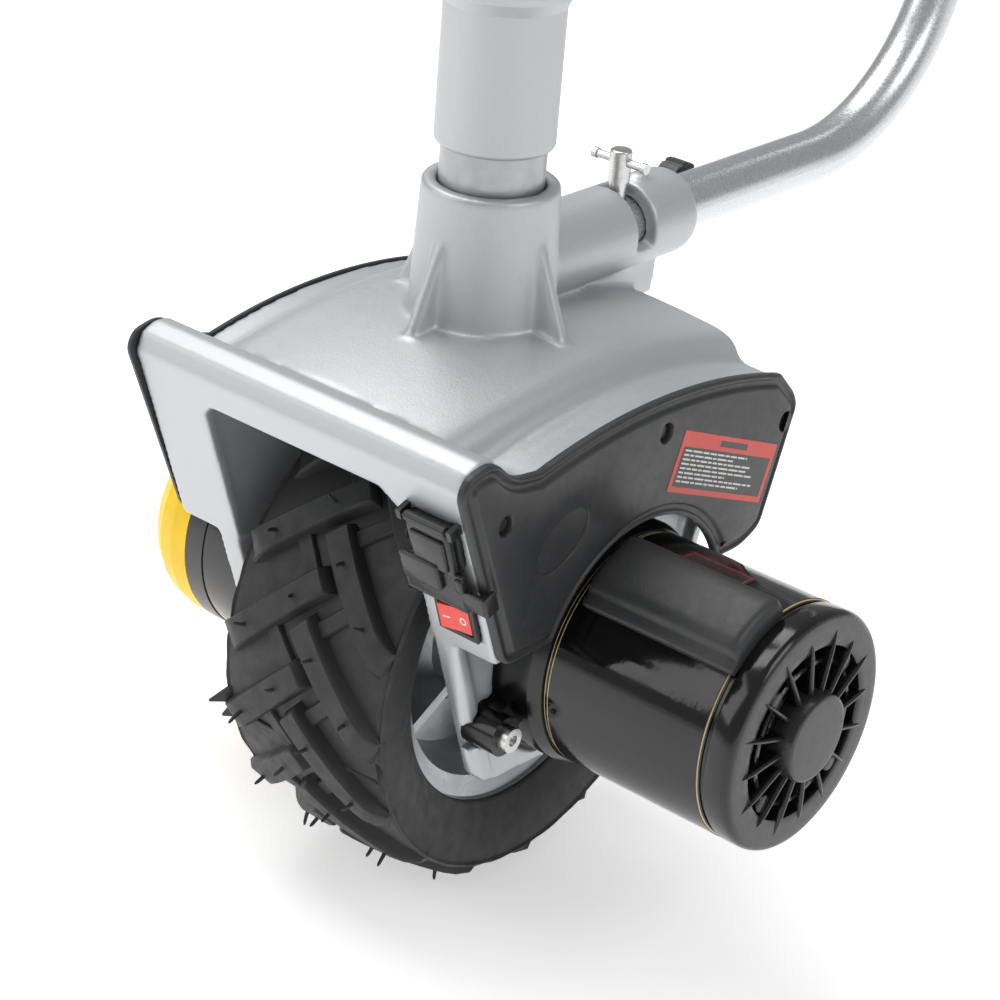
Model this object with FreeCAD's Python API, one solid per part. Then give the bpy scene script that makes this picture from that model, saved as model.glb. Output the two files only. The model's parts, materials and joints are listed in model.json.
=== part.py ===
"""Motor-driven jockey wheel for a trailer.

Clamp column, screw jack, swivelling cast fork, geared wheel and steering handle.

Millimetres. +Z is up along the column axis, +X is the wheel axle towards the motor,
-Y is the front of the fork.
The origin is on the column axis at the middle of the trailer clamp's seat on the outer tube.
"""

import FreeCAD, Part
import math
import os

V = FreeCAD.Vector
os.makedirs("parts", exist_ok=True)

# column and jack
TUBE_R = 30.0
TUBE_BORE_R = 27.2
INNER_R = 26.4
INNER_BORE_R = 23.4
RIM_Z = -160.0
SLEEVE_BOTTOM_Z = RIM_Z + 18.6
SLEEVE_TOP_Z = RIM_Z + 83.5
COLLAR_TOP_Z = RIM_Z + 112.0
TUBE_TOP_Z = 270.0
JACK_TRAVEL = 230.0
SPINDLE_R = 8.0
RUN = 0.05
POST_R = 4.6

# cast fork
SOCKET_R = 34.6
SOCKET_BORE_R = 27.2
SOCKET_FLOOR_Z = RIM_Z - 62.0
FORK_HALF_W = 107.0
SKIN = 6.0
WALL_IN = 67.0
WALL_OUT = 74.0
DECK_R = 370.0
DECK_TOP_Z = RIM_Z - 86.5
HUMP_REAR_Y = 118.0
FRONT_TOP = (-134.6, RIM_Z - 90.4)
FRONT_LOW = (-98.9, RIM_Z - 191.2)
BACK_TOP = (121.0, RIM_Z - 105.5)
BACK_LOW = (101.0, RIM_Z - 191.2)

# across and into the right leg's front, and into and up that front
ROCKER_PIVOT = (88.0, 1.5)
FLAP_PIN = (-5.6, -20.6)

# wheel and drive
AXLE_Y = 5.0
AXLE_Z = RIM_Z - 245.5
TYRE_R = 131.5
LUG_COUNT = 16
LUG_TURN = 6.2
BEAD_R = 92.0
CROSS_R = 8.0
STAGE_OFFSET = 25.0
MOTOR_Z = AXLE_Z + STAGE_OFFSET
MOTOR_R = 63.0

# handle
HANDLE_Z = RIM_Z - 49.3
HANDLE_SOCKET_R = 23.3
HANDLE_R = 15.0
HANDLE_BEND_R = 122.0
HANDLE_BEND_DEG = 68.0
HANDLE_BEND_Y = 281.0
HANDLE_SOCKET_END = 150.0
CLAMP_Y = 104.0
KNOB_Y = 187.0


def save(name, shape):
    shape.exportStep("parts/" + name + ".step")


def cyl(r, h, at, axis=(0, 0, 1)):
    return Part.makeCylinder(r, h, V(*at), V(*axis))


def tube(ro, ri, h, at, axis=(0, 0, 1)):
    start = V(*at) - V(*axis) * 1.0
    return cyl(ro, h, at, axis).cut(Part.makeCylinder(ri, h + 2.0, start, V(*axis)))


def box(x0, x1, y0, y1, z0, z1):
    return Part.makeBox(x1 - x0, y1 - y0, z1 - z0, V(x0, y0, z0))


def fuse(shapes):
    """One body of several, with faces that share a surface merged where that works."""
    body = shapes[0]
    if len(shapes) > 1:
        body = body.multiFuse(shapes[1:])
    try:
        return body.removeSplitter()
    except Part.OCCError:
        return body


def prism(points, x0, x1):
    """A YZ outline carried along X."""
    wire = Part.makePolygon([V(x0, y, z) for y, z in points + points[:1]])
    return Part.Face(wire).extrude(V(x1 - x0, 0, 0))


def arched(corners, arc, x0, x1):
    """A YZ outline of corners closed by an arc through three points, carried along X."""
    curve = Part.Arc(*[V(x0, y, z) for y, z in arc]).toShape()
    lines = Part.makePolygon([V(x0, y, z) for y, z in [arc[2]] + corners + [arc[0]]])
    return Part.Face(Part.Wire([curve] + lines.Edges)).extrude(V(x1 - x0, 0, 0))


def turned(points, y, z):
    """An (x, r) outline turned about the X-parallel axis through y, z."""
    wire = Part.makePolygon([V(x, y, z + r) for x, r in points + points[:1]])
    return Part.Face(wire).revolve(V(0, y, z), V(1, 0, 0), 360)


def turned_z(points):
    """An (r, z) outline turned about the column axis."""
    wire = Part.makePolygon([V(r, 0, z) for r, z in points + points[:1]])
    return Part.Face(wire).revolve(V(0, 0, 0), V(0, 0, 1), 360)


def mirrored(shape):
    return shape.mirror(V(0, 0, 0), V(1, 0, 0))


def soft(shape, radius, pick):
    """Round the edges that pick chooses by their middle point."""
    edges = [e for e in shape.Edges if pick(e.BoundBox.Center, e)]
    return shape.makeFillet(radius, edges) if edges else shape


# ---------------------------------------------------------------- column


def lower_sleeve():
    body = tube(TUBE_R, INNER_R + RUN, SLEEVE_TOP_Z - SLEEVE_BOTTOM_Z, (0, 0, SLEEVE_BOTTOM_Z))
    return soft(body, 3.0, lambda c, e: abs(c.z - SLEEVE_BOTTOM_Z) < 0.1 and e.BoundBox.XLength > 58)


def tube_collar():
    low = SLEEVE_TOP_Z
    outline = [
        (INNER_R + 0.8, low),
        (TUBE_R, low),
        (TUBE_R, low + 6.0),
        (TUBE_R + 3.0, low + 12.0),
        (TUBE_R + 3.4, low + 17.0),
        (TUBE_R + 3.0, low + 24.0),
        (TUBE_R + 1.5, COLLAR_TOP_Z),
        (TUBE_R, COLLAR_TOP_Z),
        (TUBE_R, low + 11.5),
        (INNER_R + 0.8, low + 11.5),
    ]
    return turned_z(outline)


def outer_tube():
    low = SLEEVE_TOP_Z + 11.5
    return tube(TUBE_R, TUBE_BORE_R, TUBE_TOP_Z - low, (0, 0, low))


def top_cap():
    z = TUBE_TOP_Z
    outline = [
        (TUBE_BORE_R, z - 22.0),
        (TUBE_BORE_R, z),
        (TUBE_R + 1.6, z),
        (TUBE_R + 1.6, z + 9.0),
        (TUBE_R - 3.0, z + 15.0),
        (15.0, z + 19.0),
        (15.0, z + 26.0),
        (SPINDLE_R + RUN, z + 26.0),
        (SPINDLE_R + RUN, z - 6.0),
        (18.0, z - 6.0),
        (18.0, z - 22.0),
    ]
    return turned_z(outline)


def thrust_bearing():
    z = TUBE_TOP_Z
    return fuse([tube(17.5, 9.5, 3.0, (0, 0, z - 9.3)), tube(17.5, 9.5, 3.0, (0, 0, z - 16.0))])


def spindle():
    """Jack screw: a collar under the cap carries the load."""
    z = TUBE_TOP_Z
    shaft = cyl(SPINDLE_R, JACK_TRAVEL + 110.0, (0, 0, z + 30.0 - (JACK_TRAVEL + 110.0)))
    return fuse([shaft, cyl(14.0, 3.0, (0, 0, z - 12.8))])


def spindle_nut():
    z = TUBE_TOP_Z - 52.0
    flange = tube(INNER_R, SPINDLE_R + RUN, 5.0, (0, 0, z))
    body = tube(INNER_BORE_R, SPINDLE_R + RUN, 28.0, (0, 0, z - 28.0))
    return fuse([flange, body])


def inner_tube():
    top = TUBE_TOP_Z - 52.0
    return tube(INNER_R, INNER_BORE_R, top - SOCKET_FLOOR_Z - 9.0, (0, 0, SOCKET_FLOOR_Z + 9.0))


def guide_ring():
    z = TUBE_TOP_Z - 66.0
    return fuse([tube(TUBE_BORE_R - RUN, INNER_R, 12.0, (0, 0, z)),
            tube(TUBE_BORE_R - RUN, INNER_R, 12.0, (0, 0, z - 38.0))])


def swivel_plug():
    """Plug in the foot of the inner tube with the swivel bolt's shank."""
    z = SOCKET_FLOOR_Z
    plug = cyl(INNER_BORE_R, 22.0, (0, 0, z + 9.0))
    foot = cyl(INNER_R, 2.0, (0, 0, z + 7.0))
    shank = cyl(8.0, 30.0, (0, 0, z - 15.0))
    return fuse([plug, foot, shank])


def swivel_bearing():
    z = SOCKET_FLOOR_Z
    washer = tube(INNER_R - 1.0, 10.0, 2.6, (0, 0, z))
    return fuse([washer, tube(INNER_R - 1.0, 10.0, 2.6, (0, 0, z + 4.2)),
            tube(22.0, 14.0, 1.6, (0, 0, z + 2.6))])


def swivel_nut():
    z = SOCKET_FLOOR_Z - 13.4
    hexagon = Part.makePolygon([V(12.0 * math.cos(a), 12.0 * math.sin(a),
            z) for a in [math.radians(60 * i) for i in range(7)]])
    nut = Part.Face(hexagon).extrude(V(0, 0, 6.0)).cut(cyl(8.0, 8.0, (0, 0, z - 1.0)))
    return nut


def crank_arm():
    """Hub on the spindle, a flat arm and an upright stub for the grip."""
    z = TUBE_TOP_Z + 26.3
    hub = tube(13.0, SPINDLE_R, 14.0, (0, 0, z))
    arm = box(9.0, 120.0, -8.0, 8.0, z + 3.0, z + 9.0)
    eye = cyl(11.0, 6.0, (120.0, 0, z + 3.0))
    pin = cyl(5.0, 76.0, (120.0, 0, z + 9.0))
    arm = fuse([arm, eye]).cut(cyl(10.0, 20.0, (0, 0, z)))
    return fuse([hub, arm, pin])


def crank_grip():
    z = TUBE_TOP_Z + 26.3 + 9.3
    body = cyl(13.0, 88.0, (120.0, 0, z))
    body = soft(body, 5.0, lambda c, e: e.BoundBox.ZLength < 0.1)
    body = body.cut(cyl(5.0 + RUN, 78.0, (120.0, 0, z - 1.0)))
    return body


# ------------------------------------------------------------------ fork


def deck_z(y, lift=0.0):
    """Height of the arched deck's top."""
    return DECK_TOP_Z + lift - DECK_R + math.sqrt(DECK_R * DECK_R - (y - AXLE_Y) ** 2)


def front_y(z):
    t = (z - FRONT_TOP[1]) / (FRONT_LOW[1] - FRONT_TOP[1])
    return FRONT_TOP[0] + t * (FRONT_LOW[0] - FRONT_TOP[0])


def back_y(z):
    t = (z - BACK_TOP[1]) / (BACK_LOW[1] - BACK_TOP[1])
    return BACK_TOP[0] + t * (BACK_LOW[0] - BACK_TOP[0])


def deck_arc(y0, y1, lift=0.0):
    return [(y, deck_z(y, lift)) for y in (y0, AXLE_Y, y1)]


def crown_block():
    """The fork's crown as a solid block: front plate, raised front lip, arched deck and back plate."""
    lip = RIM_Z - 77.0
    front = [FRONT_LOW, (front_y(lip - 13.4), lip - 13.4), (-131.0, lip - 4.0), (-122.0, lip)]
    valley = [(-113.0, lip - 1.5), (-107.0, lip - 8.5), (-102.0, lip - 15.5), (-95.0, lip - 19.0)]
    corners = [BACK_TOP, BACK_LOW] + front + valley
    return arched(corners, deck_arc(-86.0, 117.0), -FORK_HALF_W, FORK_HALF_W)


def crown_cavity():
    """The room under the crown's skin, open below."""
    lip = RIM_Z - 77.0
    low = FRONT_LOW[1] - 1.0
    front = [(front_y(low) + SKIN, low), (front_y(lip - 20.0) + SKIN, lip - 20.0), (-115.0, lip - 10.0)]
    top = deck_z(110.0, -SKIN)
    corners = [(back_y(top) - SKIN, top), (back_y(low) - SKIN, low)] + front
    return arched(corners, deck_arc(-96.0, 108.0, -SKIN), -FORK_HALF_W - 5.0, FORK_HALF_W + 5.0)


def wall_outline():
    """Side wall from the crown down round the axle."""
    tip = RIM_Z - 281.0
    lower = [(front_y(tip), tip), (front_y(tip) + 9.0, tip - 8.0), (AXLE_Y - 18.0, tip - 12.0),
            (AXLE_Y + 18.0, tip - 12.0)]
    return [FRONT_TOP] + lower + [(back_y(tip) - 9.0, tip - 8.0), (back_y(tip), tip), BACK_TOP,
            (AXLE_Y, deck_z(AXLE_Y) - 1.0)]


def side_wall():
    wall = prism(wall_outline(), WALL_IN, WALL_OUT)
    low = RIM_Z - 281.0
    rim_front = prism([(front_y(low), low), (front_y(low) + 7.0, low),
            (FRONT_LOW[0] + 7.0, FRONT_LOW[1]), FRONT_LOW], WALL_IN, WALL_OUT + 7.0)
    rim_back = prism([(back_y(low), low), (back_y(low) - 7.0, low),
            (BACK_LOW[0] - 7.0, BACK_LOW[1]), BACK_LOW], WALL_IN, WALL_OUT + 7.0)
    return fuse([wall, rim_front, rim_back])


def leg_pad():
    """Raised face of the right leg round the drive end; it runs out in a pointed foot under the lower ear."""
    y, z = ear_place(EAR_ANGLES[0])
    side = [(front_y(RIM_Z - 192.0), RIM_Z - 192.0), (-79.0, RIM_Z - 262.0), (-73.0, RIM_Z - 276.0)]
    foot = [(-64.0, RIM_Z - 283.5), (-52.0, RIM_Z - 286.4), (-37.0, RIM_Z - 286.4), (-16.0, RIM_Z - 283.6)]
    body = prism(side + foot + [(-20.0, RIM_Z - 192.0)], WALL_OUT - 1.0, WALL_OUT + 5.0)
    body = body.cut(cyl(68.4, 20.0, (WALL_OUT - 5.0, AXLE_Y, MOTOR_Z), (1, 0, 0)))
    body = body.cut(cyl(13.5, 20.0, (WALL_OUT - 5.0, y, z), (1, 0, 0)))
    gap = box(WALL_OUT - 5.0, WALL_OUT + 15.0, -6.0, 40.0, -11.0, 11.0)
    gap.rotate(V(0, 0, 0), V(1, 0, 0), EAR_ANGLES[0] - 180.0)
    gap.translate(V(0, y, z))
    return body.cut(gap)


def end_window(y0, y1, top):
    """Opening in the front or back plate for the wheel."""
    half = WALL_IN - 1.0
    shape = Part.makePolygon([V(-half, y0, top - 6), V(-half + 6, y0, top), V(half - 14, y0, top),
            V(half, y0, top - 12),
                              V(half, y0, RIM_Z - 300), V(-half, y0, RIM_Z - 300), V(-half, y0, top - 6)])
    return Part.Face(shape).extrude(V(0, y1 - y0, 0))


def hump_level(y):
    """Height of the raised middle along the centre line."""
    fall = 13.0 if y < AXLE_Y else 23.0
    return RIM_Z - 67.0 - ((y - AXLE_Y) / 125.0) ** 2 * fall


def hump():
    """Raised middle of the crown: crowned top, rounded shoulders and steep sides that run out on the deck."""
    line = [(0.0, 1.0), (6.5, 1.0), (13.0, 0.99), (19.5, 0.98), (26.0, 0.965), (32.5, 0.945),
            (39.0, 0.92), (45.5, 0.89)]
    line += [(52.0, 0.86), (58.0, 0.83), (64.0, 0.79), (69.5, 0.72), (74.0, 0.6), (77.2, 0.43),
            (79.3, 0.24), (82.0, 0.09)]
    line += [(86.5, 0.02), (92.5, -0.01)]
    line = [(-x, k) for x, k in line[:0:-1]] + line
    rows = []
    for x, k in line:
        rows.append([V(x, y, deck_z(y) + (hump_level(y) - deck_z(y)) * k) for y in range(-110,
                int(HUMP_REAR_Y) + 1, 12)])
    top = Part.BSplineSurface()
    top.interpolate(rows)
    return top.toShape().extrude(V(0, 0, -26.0))


def hump_room():
    """Hollow under the raised middle."""
    top = [(y, hump_level(y) - 1.6 * SKIN) for y in (-84.0, AXLE_Y, 106.0)]
    return arched([(106.0, RIM_Z - 125.0), (-84.0, RIM_Z - 125.0)], top, -62.0, 62.0)


def window_boss():
    """Cast post under the crown, just behind the front window."""
    return cyl(3.6, 26.0, (-11.0, -108.0, RIM_Z - 114.0))


def rib(angle):
    """Tapered web between the socket and the crown."""
    outline = [V(28.0, -3.5, RIM_Z - 20.0), V(SOCKET_R + 0.5, -3.5, RIM_Z - 22.0),
            V(57.0, -3.5, RIM_Z - 74.0), V(57.0, -3.5, RIM_Z - 84.0), V(28.0, -3.5, RIM_Z - 84.0)]
    web = Part.Face(Part.makePolygon(outline + outline[:1])).extrude(V(0, 7.0, 0))
    web = soft(web, 2.0, lambda c, e: abs(c.z - RIM_Z + 48.0) < 1.0 and e.BoundBox.XLength > 10.0)
    web.rotate(V(0, 0, 0), V(0, 0, 1), angle)
    return web


def column_socket():
    outline = [(0.0, RIM_Z), (SOCKET_R - 1.2, RIM_Z), (SOCKET_R, RIM_Z - 1.2),
            (SOCKET_R + 3.0, RIM_Z - 72.0), (SOCKET_R + 5.0, RIM_Z - 80.0), (0.0, RIM_Z - 80.0)]
    return turned_z(outline)


def handle_socket():
    barrel = cyl(HANDLE_SOCKET_R, HANDLE_SOCKET_END - 30.0, (0, 30.0, HANDLE_Z), (0, 1, 0))
    barrel = soft(barrel, 6.0, lambda c, e: abs(c.y - HANDLE_SOCKET_END) < 0.1)
    outline = [(30.0, HANDLE_Z), (138.0, HANDLE_Z - 14.0), (136.0, RIM_Z - 92.0),
            (112.0, RIM_Z - 96.0), (30.0, RIM_Z - 78.0)]
    web = prism(outline, -6.0, 6.0)
    boss = cyl(5.0, 6.0, (0, 121.0, HANDLE_Z + 20.0))
    return fuse([barrel, web, boss])


def handle_slot():
    """Slot round the top and motor side of the handle socket for the clamp screw."""
    y = CLAMP_Y - 8.0
    ring = tube(HANDLE_SOCKET_R + 3.0, HANDLE_R - 2.0, 14.0, (0, CLAMP_Y - 7.0, HANDLE_Z), (0, 1, 0))
    corners = [(0, 0), (60, -18), (60, 60), (-22, 60), (0, 0)]
    keep = Part.makePolygon([V(x, y, HANDLE_Z + z) for x, z in corners])
    return ring.common(Part.Face(keep).extrude(V(0, 16, 0)))


def housing():
    crown = crown_block()
    body = fuse([crown, hump(), column_socket(), handle_socket()] + [rib(a) for a in (-90.0, 0.0, 180.0)])
    body = body.cut(crown_cavity()).cut(hump_room())
    walls = side_wall().common(fuse([crown, box(60, 90, -150, 140, RIM_Z - 300, RIM_Z - 180)]))
    hub = cyl(SOCKET_R + 2.0, 22.0, (0, 0, SOCKET_FLOOR_Z - 14.0))
    body = fuse([body, walls, mirrored(walls), hub, leg_pad()])
    body = body.cut(end_window(-160.0, -85.0, RIM_Z - 107.5))
    body = body.cut(end_window(80.0, 140.0, RIM_Z - 122.0))
    body = body.cut(cyl(SOCKET_BORE_R, 80.0, (0, 0, SOCKET_FLOOR_Z)))
    body = body.cut(cyl(8.0 + RUN, 30.0, (0, 0, SOCKET_FLOOR_Z - 20.0)))
    body = body.cut(cyl(17.0, 30.0, (0, 0, SOCKET_FLOOR_Z - 37.0)))
    body = body.cut(cyl(HANDLE_R + RUN, 150.0, (0, 46.0, HANDLE_Z), (0, 1, 0)))
    body = body.cut(handle_slot())
    body = body.cut(cyl(14.0, 20.0, (WALL_IN - 5.0, AXLE_Y, AXLE_Z), (1, 0, 0)))
    body = body.cut(cyl(32.0, 20.0, (-WALL_OUT - 5.0, AXLE_Y, AXLE_Z), (1, 0, 0)))
    body = fuse([body, window_boss()])
    for cutter in [inlet_cutter(), switch_cutter()] + [ear_room(a) for a in EAR_ANGLES] + post_rooms():
        body = body.cut(cutter)
    return body


def post_rooms():
    """Bores for the screw posts where they pass through the rear wall."""
    y, z = screw_places()[-1]
    return [cyl(POST_R + RUN, 40.0, (x, y, z), (1, 0, 0)) for x in (76.5, -116.5)]


def on_front(shape):
    """Place a shape drawn flat against the XZ plane onto the slanted front face of the right leg."""
    lean = math.degrees(math.atan2(FRONT_LOW[0] - FRONT_TOP[0], FRONT_TOP[1] - FRONT_LOW[1]))
    placed = shape.copy()
    placed.rotate(V(0, 0, 0), V(1, 0, 0), lean)
    placed.translate(V(0, FRONT_TOP[0], FRONT_TOP[1]))
    return placed


def inlet_cutter():
    return on_front(box(72.5, 100.5, -3, 14, -46, -21))


def ear_room(angle):
    """Bolt hole and clearance in the leg for one of the drive end's ears."""
    y, z = ear_place(angle)
    hole = cyl(4.3, 20.0, (WALL_IN - 5.0, y, z), (1, 0, 0))
    return fuse([hole, cyl(10.9, 20.0, (WALL_OUT, y, z), (1, 0, 0))])


def switch_cutter():
    return on_front(box(75.5, 100.5, -3, 12, -95, -72))


def inlet():
    """Battery inlet: a shrouded two-pole socket."""
    shroud = box(72.8, 100.2, -2.0, 13.0, -45.7, -21.3).cut(box(75.0, 98.0, -3.0, 10.5, -43.5, -23.5))
    poles = [box(79.0, 83.0, 3.0, 11.0, -38.0, -29.0), box(90.0, 94.0, 3.0, 11.0, -38.0, -29.0)]
    return on_front(fuse([shroud] + poles))


def inlet_flap():
    """Dust cover hung from a pin above the inlet: a lid, a wide plate and a hook round the side cover's edge."""
    lid = box(73.0, 99.6, -6.6, -2.5, -50.0, -23.4)
    plate = box(65.0, 103.0, -6.4, -3.6, -69.5, -46.0)
    knuckle = cyl(2.6, 25.0, (74.0, *FLAP_PIN), (1, 0, 0))
    leaf = box(74.0, 99.0, -6.6, -4.0, -24.0, -20.0)
    rib_left = box(65.0, 67.6, -6.4, -2.4, -69.5, -47.5)
    rib_low = box(65.0, 103.0, -6.4, -2.4, -69.5, -67.0)
    hook = box(103.0, 115.6, -6.4, -3.9, -66.5, -55.0)
    turn = box(113.2, 115.6, -6.4, 1.5, -66.5, -55.0)
    body = fuse([lid, plate, knuckle, leaf, rib_left, rib_low, hook, turn])
    return on_front(body.cut(cyl(1.5 + RUN, 60.0, (55.0, *FLAP_PIN), (1, 0, 0))))


def flap_pin():
    posts = [box(x, x + 2.8, -7.6, 0.0, -23.2, -18.0) for x in (69.6, 100.6)]
    return on_front(fuse([cyl(1.5, 33.8, (69.6, *FLAP_PIN), (1, 0, 0))] + posts))


def switch_bezel():
    frame = box(75.8, 100.2, -1.6, 16.0, -94.7, -72.3).cut(box(78.0, 98.0, -3.0, 12.0, -92.0, -75.0))
    pin = cyl(1.2, 20.0, (*ROCKER_PIVOT, -93.0))
    return on_front(fuse([frame, pin]))


def rocker():
    """Rocker that tips left and right, pressed in at its right end at rest."""
    x, y = ROCKER_PIVOT
    line = [(-8.6, -5.1), (0.0, -3.4), (8.6, -2.5), (8.2, 4.5), (-8.2, 4.5)]
    outline = Part.makePolygon([V(x + u, y + v, -91.2) for u, v in line + line[:1]])
    body = Part.Face(outline).extrude(V(0, 0, 15.4))
    return on_front(body.cut(cyl(1.2 + RUN, 30.0, (x, y, -100.0))))


# ---------------------------------------------------------- side covers


def cover_plate(grow, x0, x1):
    """Side cover outline: it follows the crown, stepped down behind the lip and arched over the deck."""
    lip = RIM_Z - 76.5
    low = [(92.0, RIM_Z - 191.0 - grow), (-98.0 - grow * 0.6, RIM_Z - 190.5 - grow),
            (-138.5 - grow, RIM_Z - 89.0)]
    front = [(-134.0 - grow * 0.7, RIM_Z - 80.5 + grow * 0.7), (-116.0, lip + grow),
            (-102.0 + grow * 0.4, RIM_Z - 90.0 + grow)]
    back = [(125.0 + grow, RIM_Z - 112.0), (129.0 + grow, RIM_Z - 120.0), (108.0 + grow, RIM_Z - 184.0)]
    return arched(back + low + front, deck_arc(-84.0, 113.0, 3.6 + grow), x0, x1)


def side_cover(cut_z, cut_r):
    """Moulded cover with a stepped rim, relieved round the drive."""
    inner = FORK_HALF_W + 0.3
    rim = cover_plate(0.0, inner, inner + 2.2)
    face = cover_plate(-4.0, inner + 2.2, inner + 5.0)
    face = soft(face, 1.6, lambda c, e: abs(c.x - inner - 5.0) < 0.1)
    body = fuse([rim, face])
    hollow = cover_plate(-7.0, FORK_HALF_W, inner + 2.9)
    body = body.cut(hollow)
    body = body.cut(cyl(cut_r, 30.0, (FORK_HALF_W - 10.0, AXLE_Y, cut_z), (1, 0, 0)))
    for y, z in screw_places():
        body = body.cut(cyl(3.6, 20.0, (FORK_HALF_W - 5.0, y, z), (1, 0, 0)))
    return body


def screw_places():
    return [(-107.0, RIM_Z - 112.0), (12.0, RIM_Z - 101.0), (117.0, RIM_Z - 126.0)]


def right_cover():
    return side_cover(MOTOR_Z, 73.0)


def left_cover():
    return mirrored(side_cover(AXLE_Z, 82.0))


def cover_posts():
    """Screws that hold the side covers, standing in from each screw hole."""
    posts = []
    for side in (1, -1):
        for y, z in screw_places():
            head = cyl(3.3, 2.0, (side * (FORK_HALF_W + 1.0), y, z), (side, 0, 0))
            shank = cyl(2.0, 29.0, (side * (FORK_HALF_W - 27.0), y, z), (side, 0, 0))
            sleeve = tube(POST_R, 2.0, 25.0, (side * (FORK_HALF_W - 25.5), y, z), (side, 0, 0))
            posts.append(fuse([head, shank, sleeve]))
    return Part.makeCompound(posts)


def relay_module():
    """Board with the two direction relays and the radio receiver, behind the right cover."""
    board = box(96.0, 98.0, -50.0, 60.0, RIM_Z - 142.0, RIM_Z - 107.0)
    relays = [box(76.5, 96.0, y, y + 26.0, RIM_Z - 136.0, RIM_Z - 108.0) for y in (-44.0, -10.0)]
    receiver = box(86.0, 96.0, 26.0, 54.0, RIM_Z - 134.0, RIM_Z - 110.0)
    return fuse([board, receiver] + relays)


# ---------------------------------------------------------------- handle


def handle_path(y0, tail):
    """Line back along +Y, an upward bend, then a straight tail."""
    z = HANDLE_Z
    a = math.radians(HANDLE_BEND_DEG)
    start = V(0, y0, z)
    bend = V(0, HANDLE_BEND_Y, z)
    mid = V(0, HANDLE_BEND_Y + HANDLE_BEND_R * math.sin(a / 2), z + HANDLE_BEND_R * (1 - math.cos(a / 2)))
    end = V(0, HANDLE_BEND_Y + HANDLE_BEND_R * math.sin(a), z + HANDLE_BEND_R * (1 - math.cos(a)))
    tip = end + V(0, math.cos(a), math.sin(a)) * tail
    edges = [Part.makeLine(start, bend), Part.Arc(bend, mid, end).toShape(), Part.makeLine(end, tip)]
    return Part.Wire(edges), end, V(0, math.cos(a), math.sin(a))


def swept(r, y0, tail):
    path, end, way = handle_path(y0, tail)
    ring = Part.Wire([Part.makeCircle(r, V(0, y0, HANDLE_Z), V(0, 1, 0))])
    return path.makePipeShell([ring], True, False)


def handle_tube():
    body = swept(HANDLE_R, 48.0, 330.0).cut(swept(HANDLE_R - 2.0, 47.0, 331.0))
    body = body.cut(cyl(4.9 + RUN, 20.0, (0, CLAMP_Y, HANDLE_Z)))
    nut = tube(9.0, 4.9 + RUN, 6.0, (0, CLAMP_Y, HANDLE_Z + 5.6))
    nut = nut.common(cyl(HANDLE_R - 1.9, 30.0, (0, 97.0, HANDLE_Z), (0, 1, 0)))
    body = fuse([body, nut])
    return body.cut(cyl(3.0 + RUN, 20.0, (-20.0, KNOB_Y, HANDLE_Z), (1, 0, 0)))


def grip_frame():
    path, end, way = handle_path(48.0, 10.0)
    return end, way


def handle_grip():
    end, way = grip_frame()
    base = end + way * 205.0
    body = Part.makeCylinder(HANDLE_R + 4.0, 128.0, base, way)
    for i in range(8):
        at = base + way * (14.0 + 13.0 * i)
        ring = Part.makeCylinder(HANDLE_R + 6.0, 3.0, at,
                way).cut(Part.makeCylinder(HANDLE_R + 2.8, 3.0, at, way))
        body = body.cut(ring)
    flange = Part.makeCylinder(HANDLE_R + 8.0, 5.0, base, way)
    cap = Part.makeCylinder(HANDLE_R + 6.0, 6.0, base + way * 127.0, way)
    body = fuse([body, flange, cap])
    return body.cut(Part.makeCylinder(HANDLE_R, 125.5, base - way * 0.5, way))


def clamp_screw():
    head = cyl(5.8, 17.0, (0, CLAMP_Y, HANDLE_Z + 25.3))
    head = soft(head, 1.2, lambda c, e: abs(c.z - HANDLE_Z - 42.3) < 0.1)
    shank = cyl(4.9, 18.0, (0, CLAMP_Y, HANDLE_Z + 8.0))
    return fuse([head, shank]).cut(cyl(2.2 + RUN, 20.0, (-10.0, CLAMP_Y, HANDLE_Z + 36.0), (1, 0, 0)))


def tommy_bar():
    z = HANDLE_Z + 36.0
    return fuse([cyl(2.2, 34.0, (-17.0, CLAMP_Y, z), (1, 0, 0)),
            cyl(2.9, 3.0, (14.5, CLAMP_Y, z), (1, 0, 0)),
            cyl(2.9, 3.0, (-17.5, CLAMP_Y, z), (1, 0, 0))])


def side_knob():
    knob = cyl(12.0, 12.0, (-29.0, KNOB_Y, HANDLE_Z), (1, 0, 0))
    for i in range(10):
        a = math.radians(36 * i)
        knob = knob.cut(cyl(1.8, 14.0, (-30.0, KNOB_Y + 12.8 * math.cos(a),
                HANDLE_Z + 12.8 * math.sin(a)), (1, 0, 0)))
    return fuse([knob, cyl(3.0, 12.0, (-18.0, KNOB_Y, HANDLE_Z), (1, 0, 0))])


# --------------------------------------------------------------- gearing


def involute(a):
    return math.tan(a) - a


def flank(teeth, module, r, thin):
    """Half angle of a tooth at radius r; thin narrows it on the pitch circle."""
    pitch_r = teeth * module / 2
    base_r = pitch_r * math.cos(math.radians(20))
    at = math.acos(min(1.0, base_r / max(r, base_r)))
    return math.pi / (2 * teeth) - thin / (2 * pitch_r) + involute(math.radians(20)) - involute(at)


def gear_face(teeth, module, add, ded, thin, spin, x, y, z):
    pitch_r = teeth * module / 2
    root, tip = pitch_r - ded, pitch_r + add
    radii = [root + (tip - root) * i / 5 for i in range(6)]
    points = []
    for t in range(teeth):
        middle = math.radians(spin) + 2 * math.pi * t / teeth
        side = [(r, flank(teeth, module, r, thin)) for r in radii]
        ring = [(r, middle - h) for r, h in side] + [(r, middle + h) for r, h in reversed(side)]
        points += [V(x, y + r * math.cos(a), z + r * math.sin(a)) for r, a in ring]
    return Part.Face(Part.makePolygon(points + points[:1]))


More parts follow.
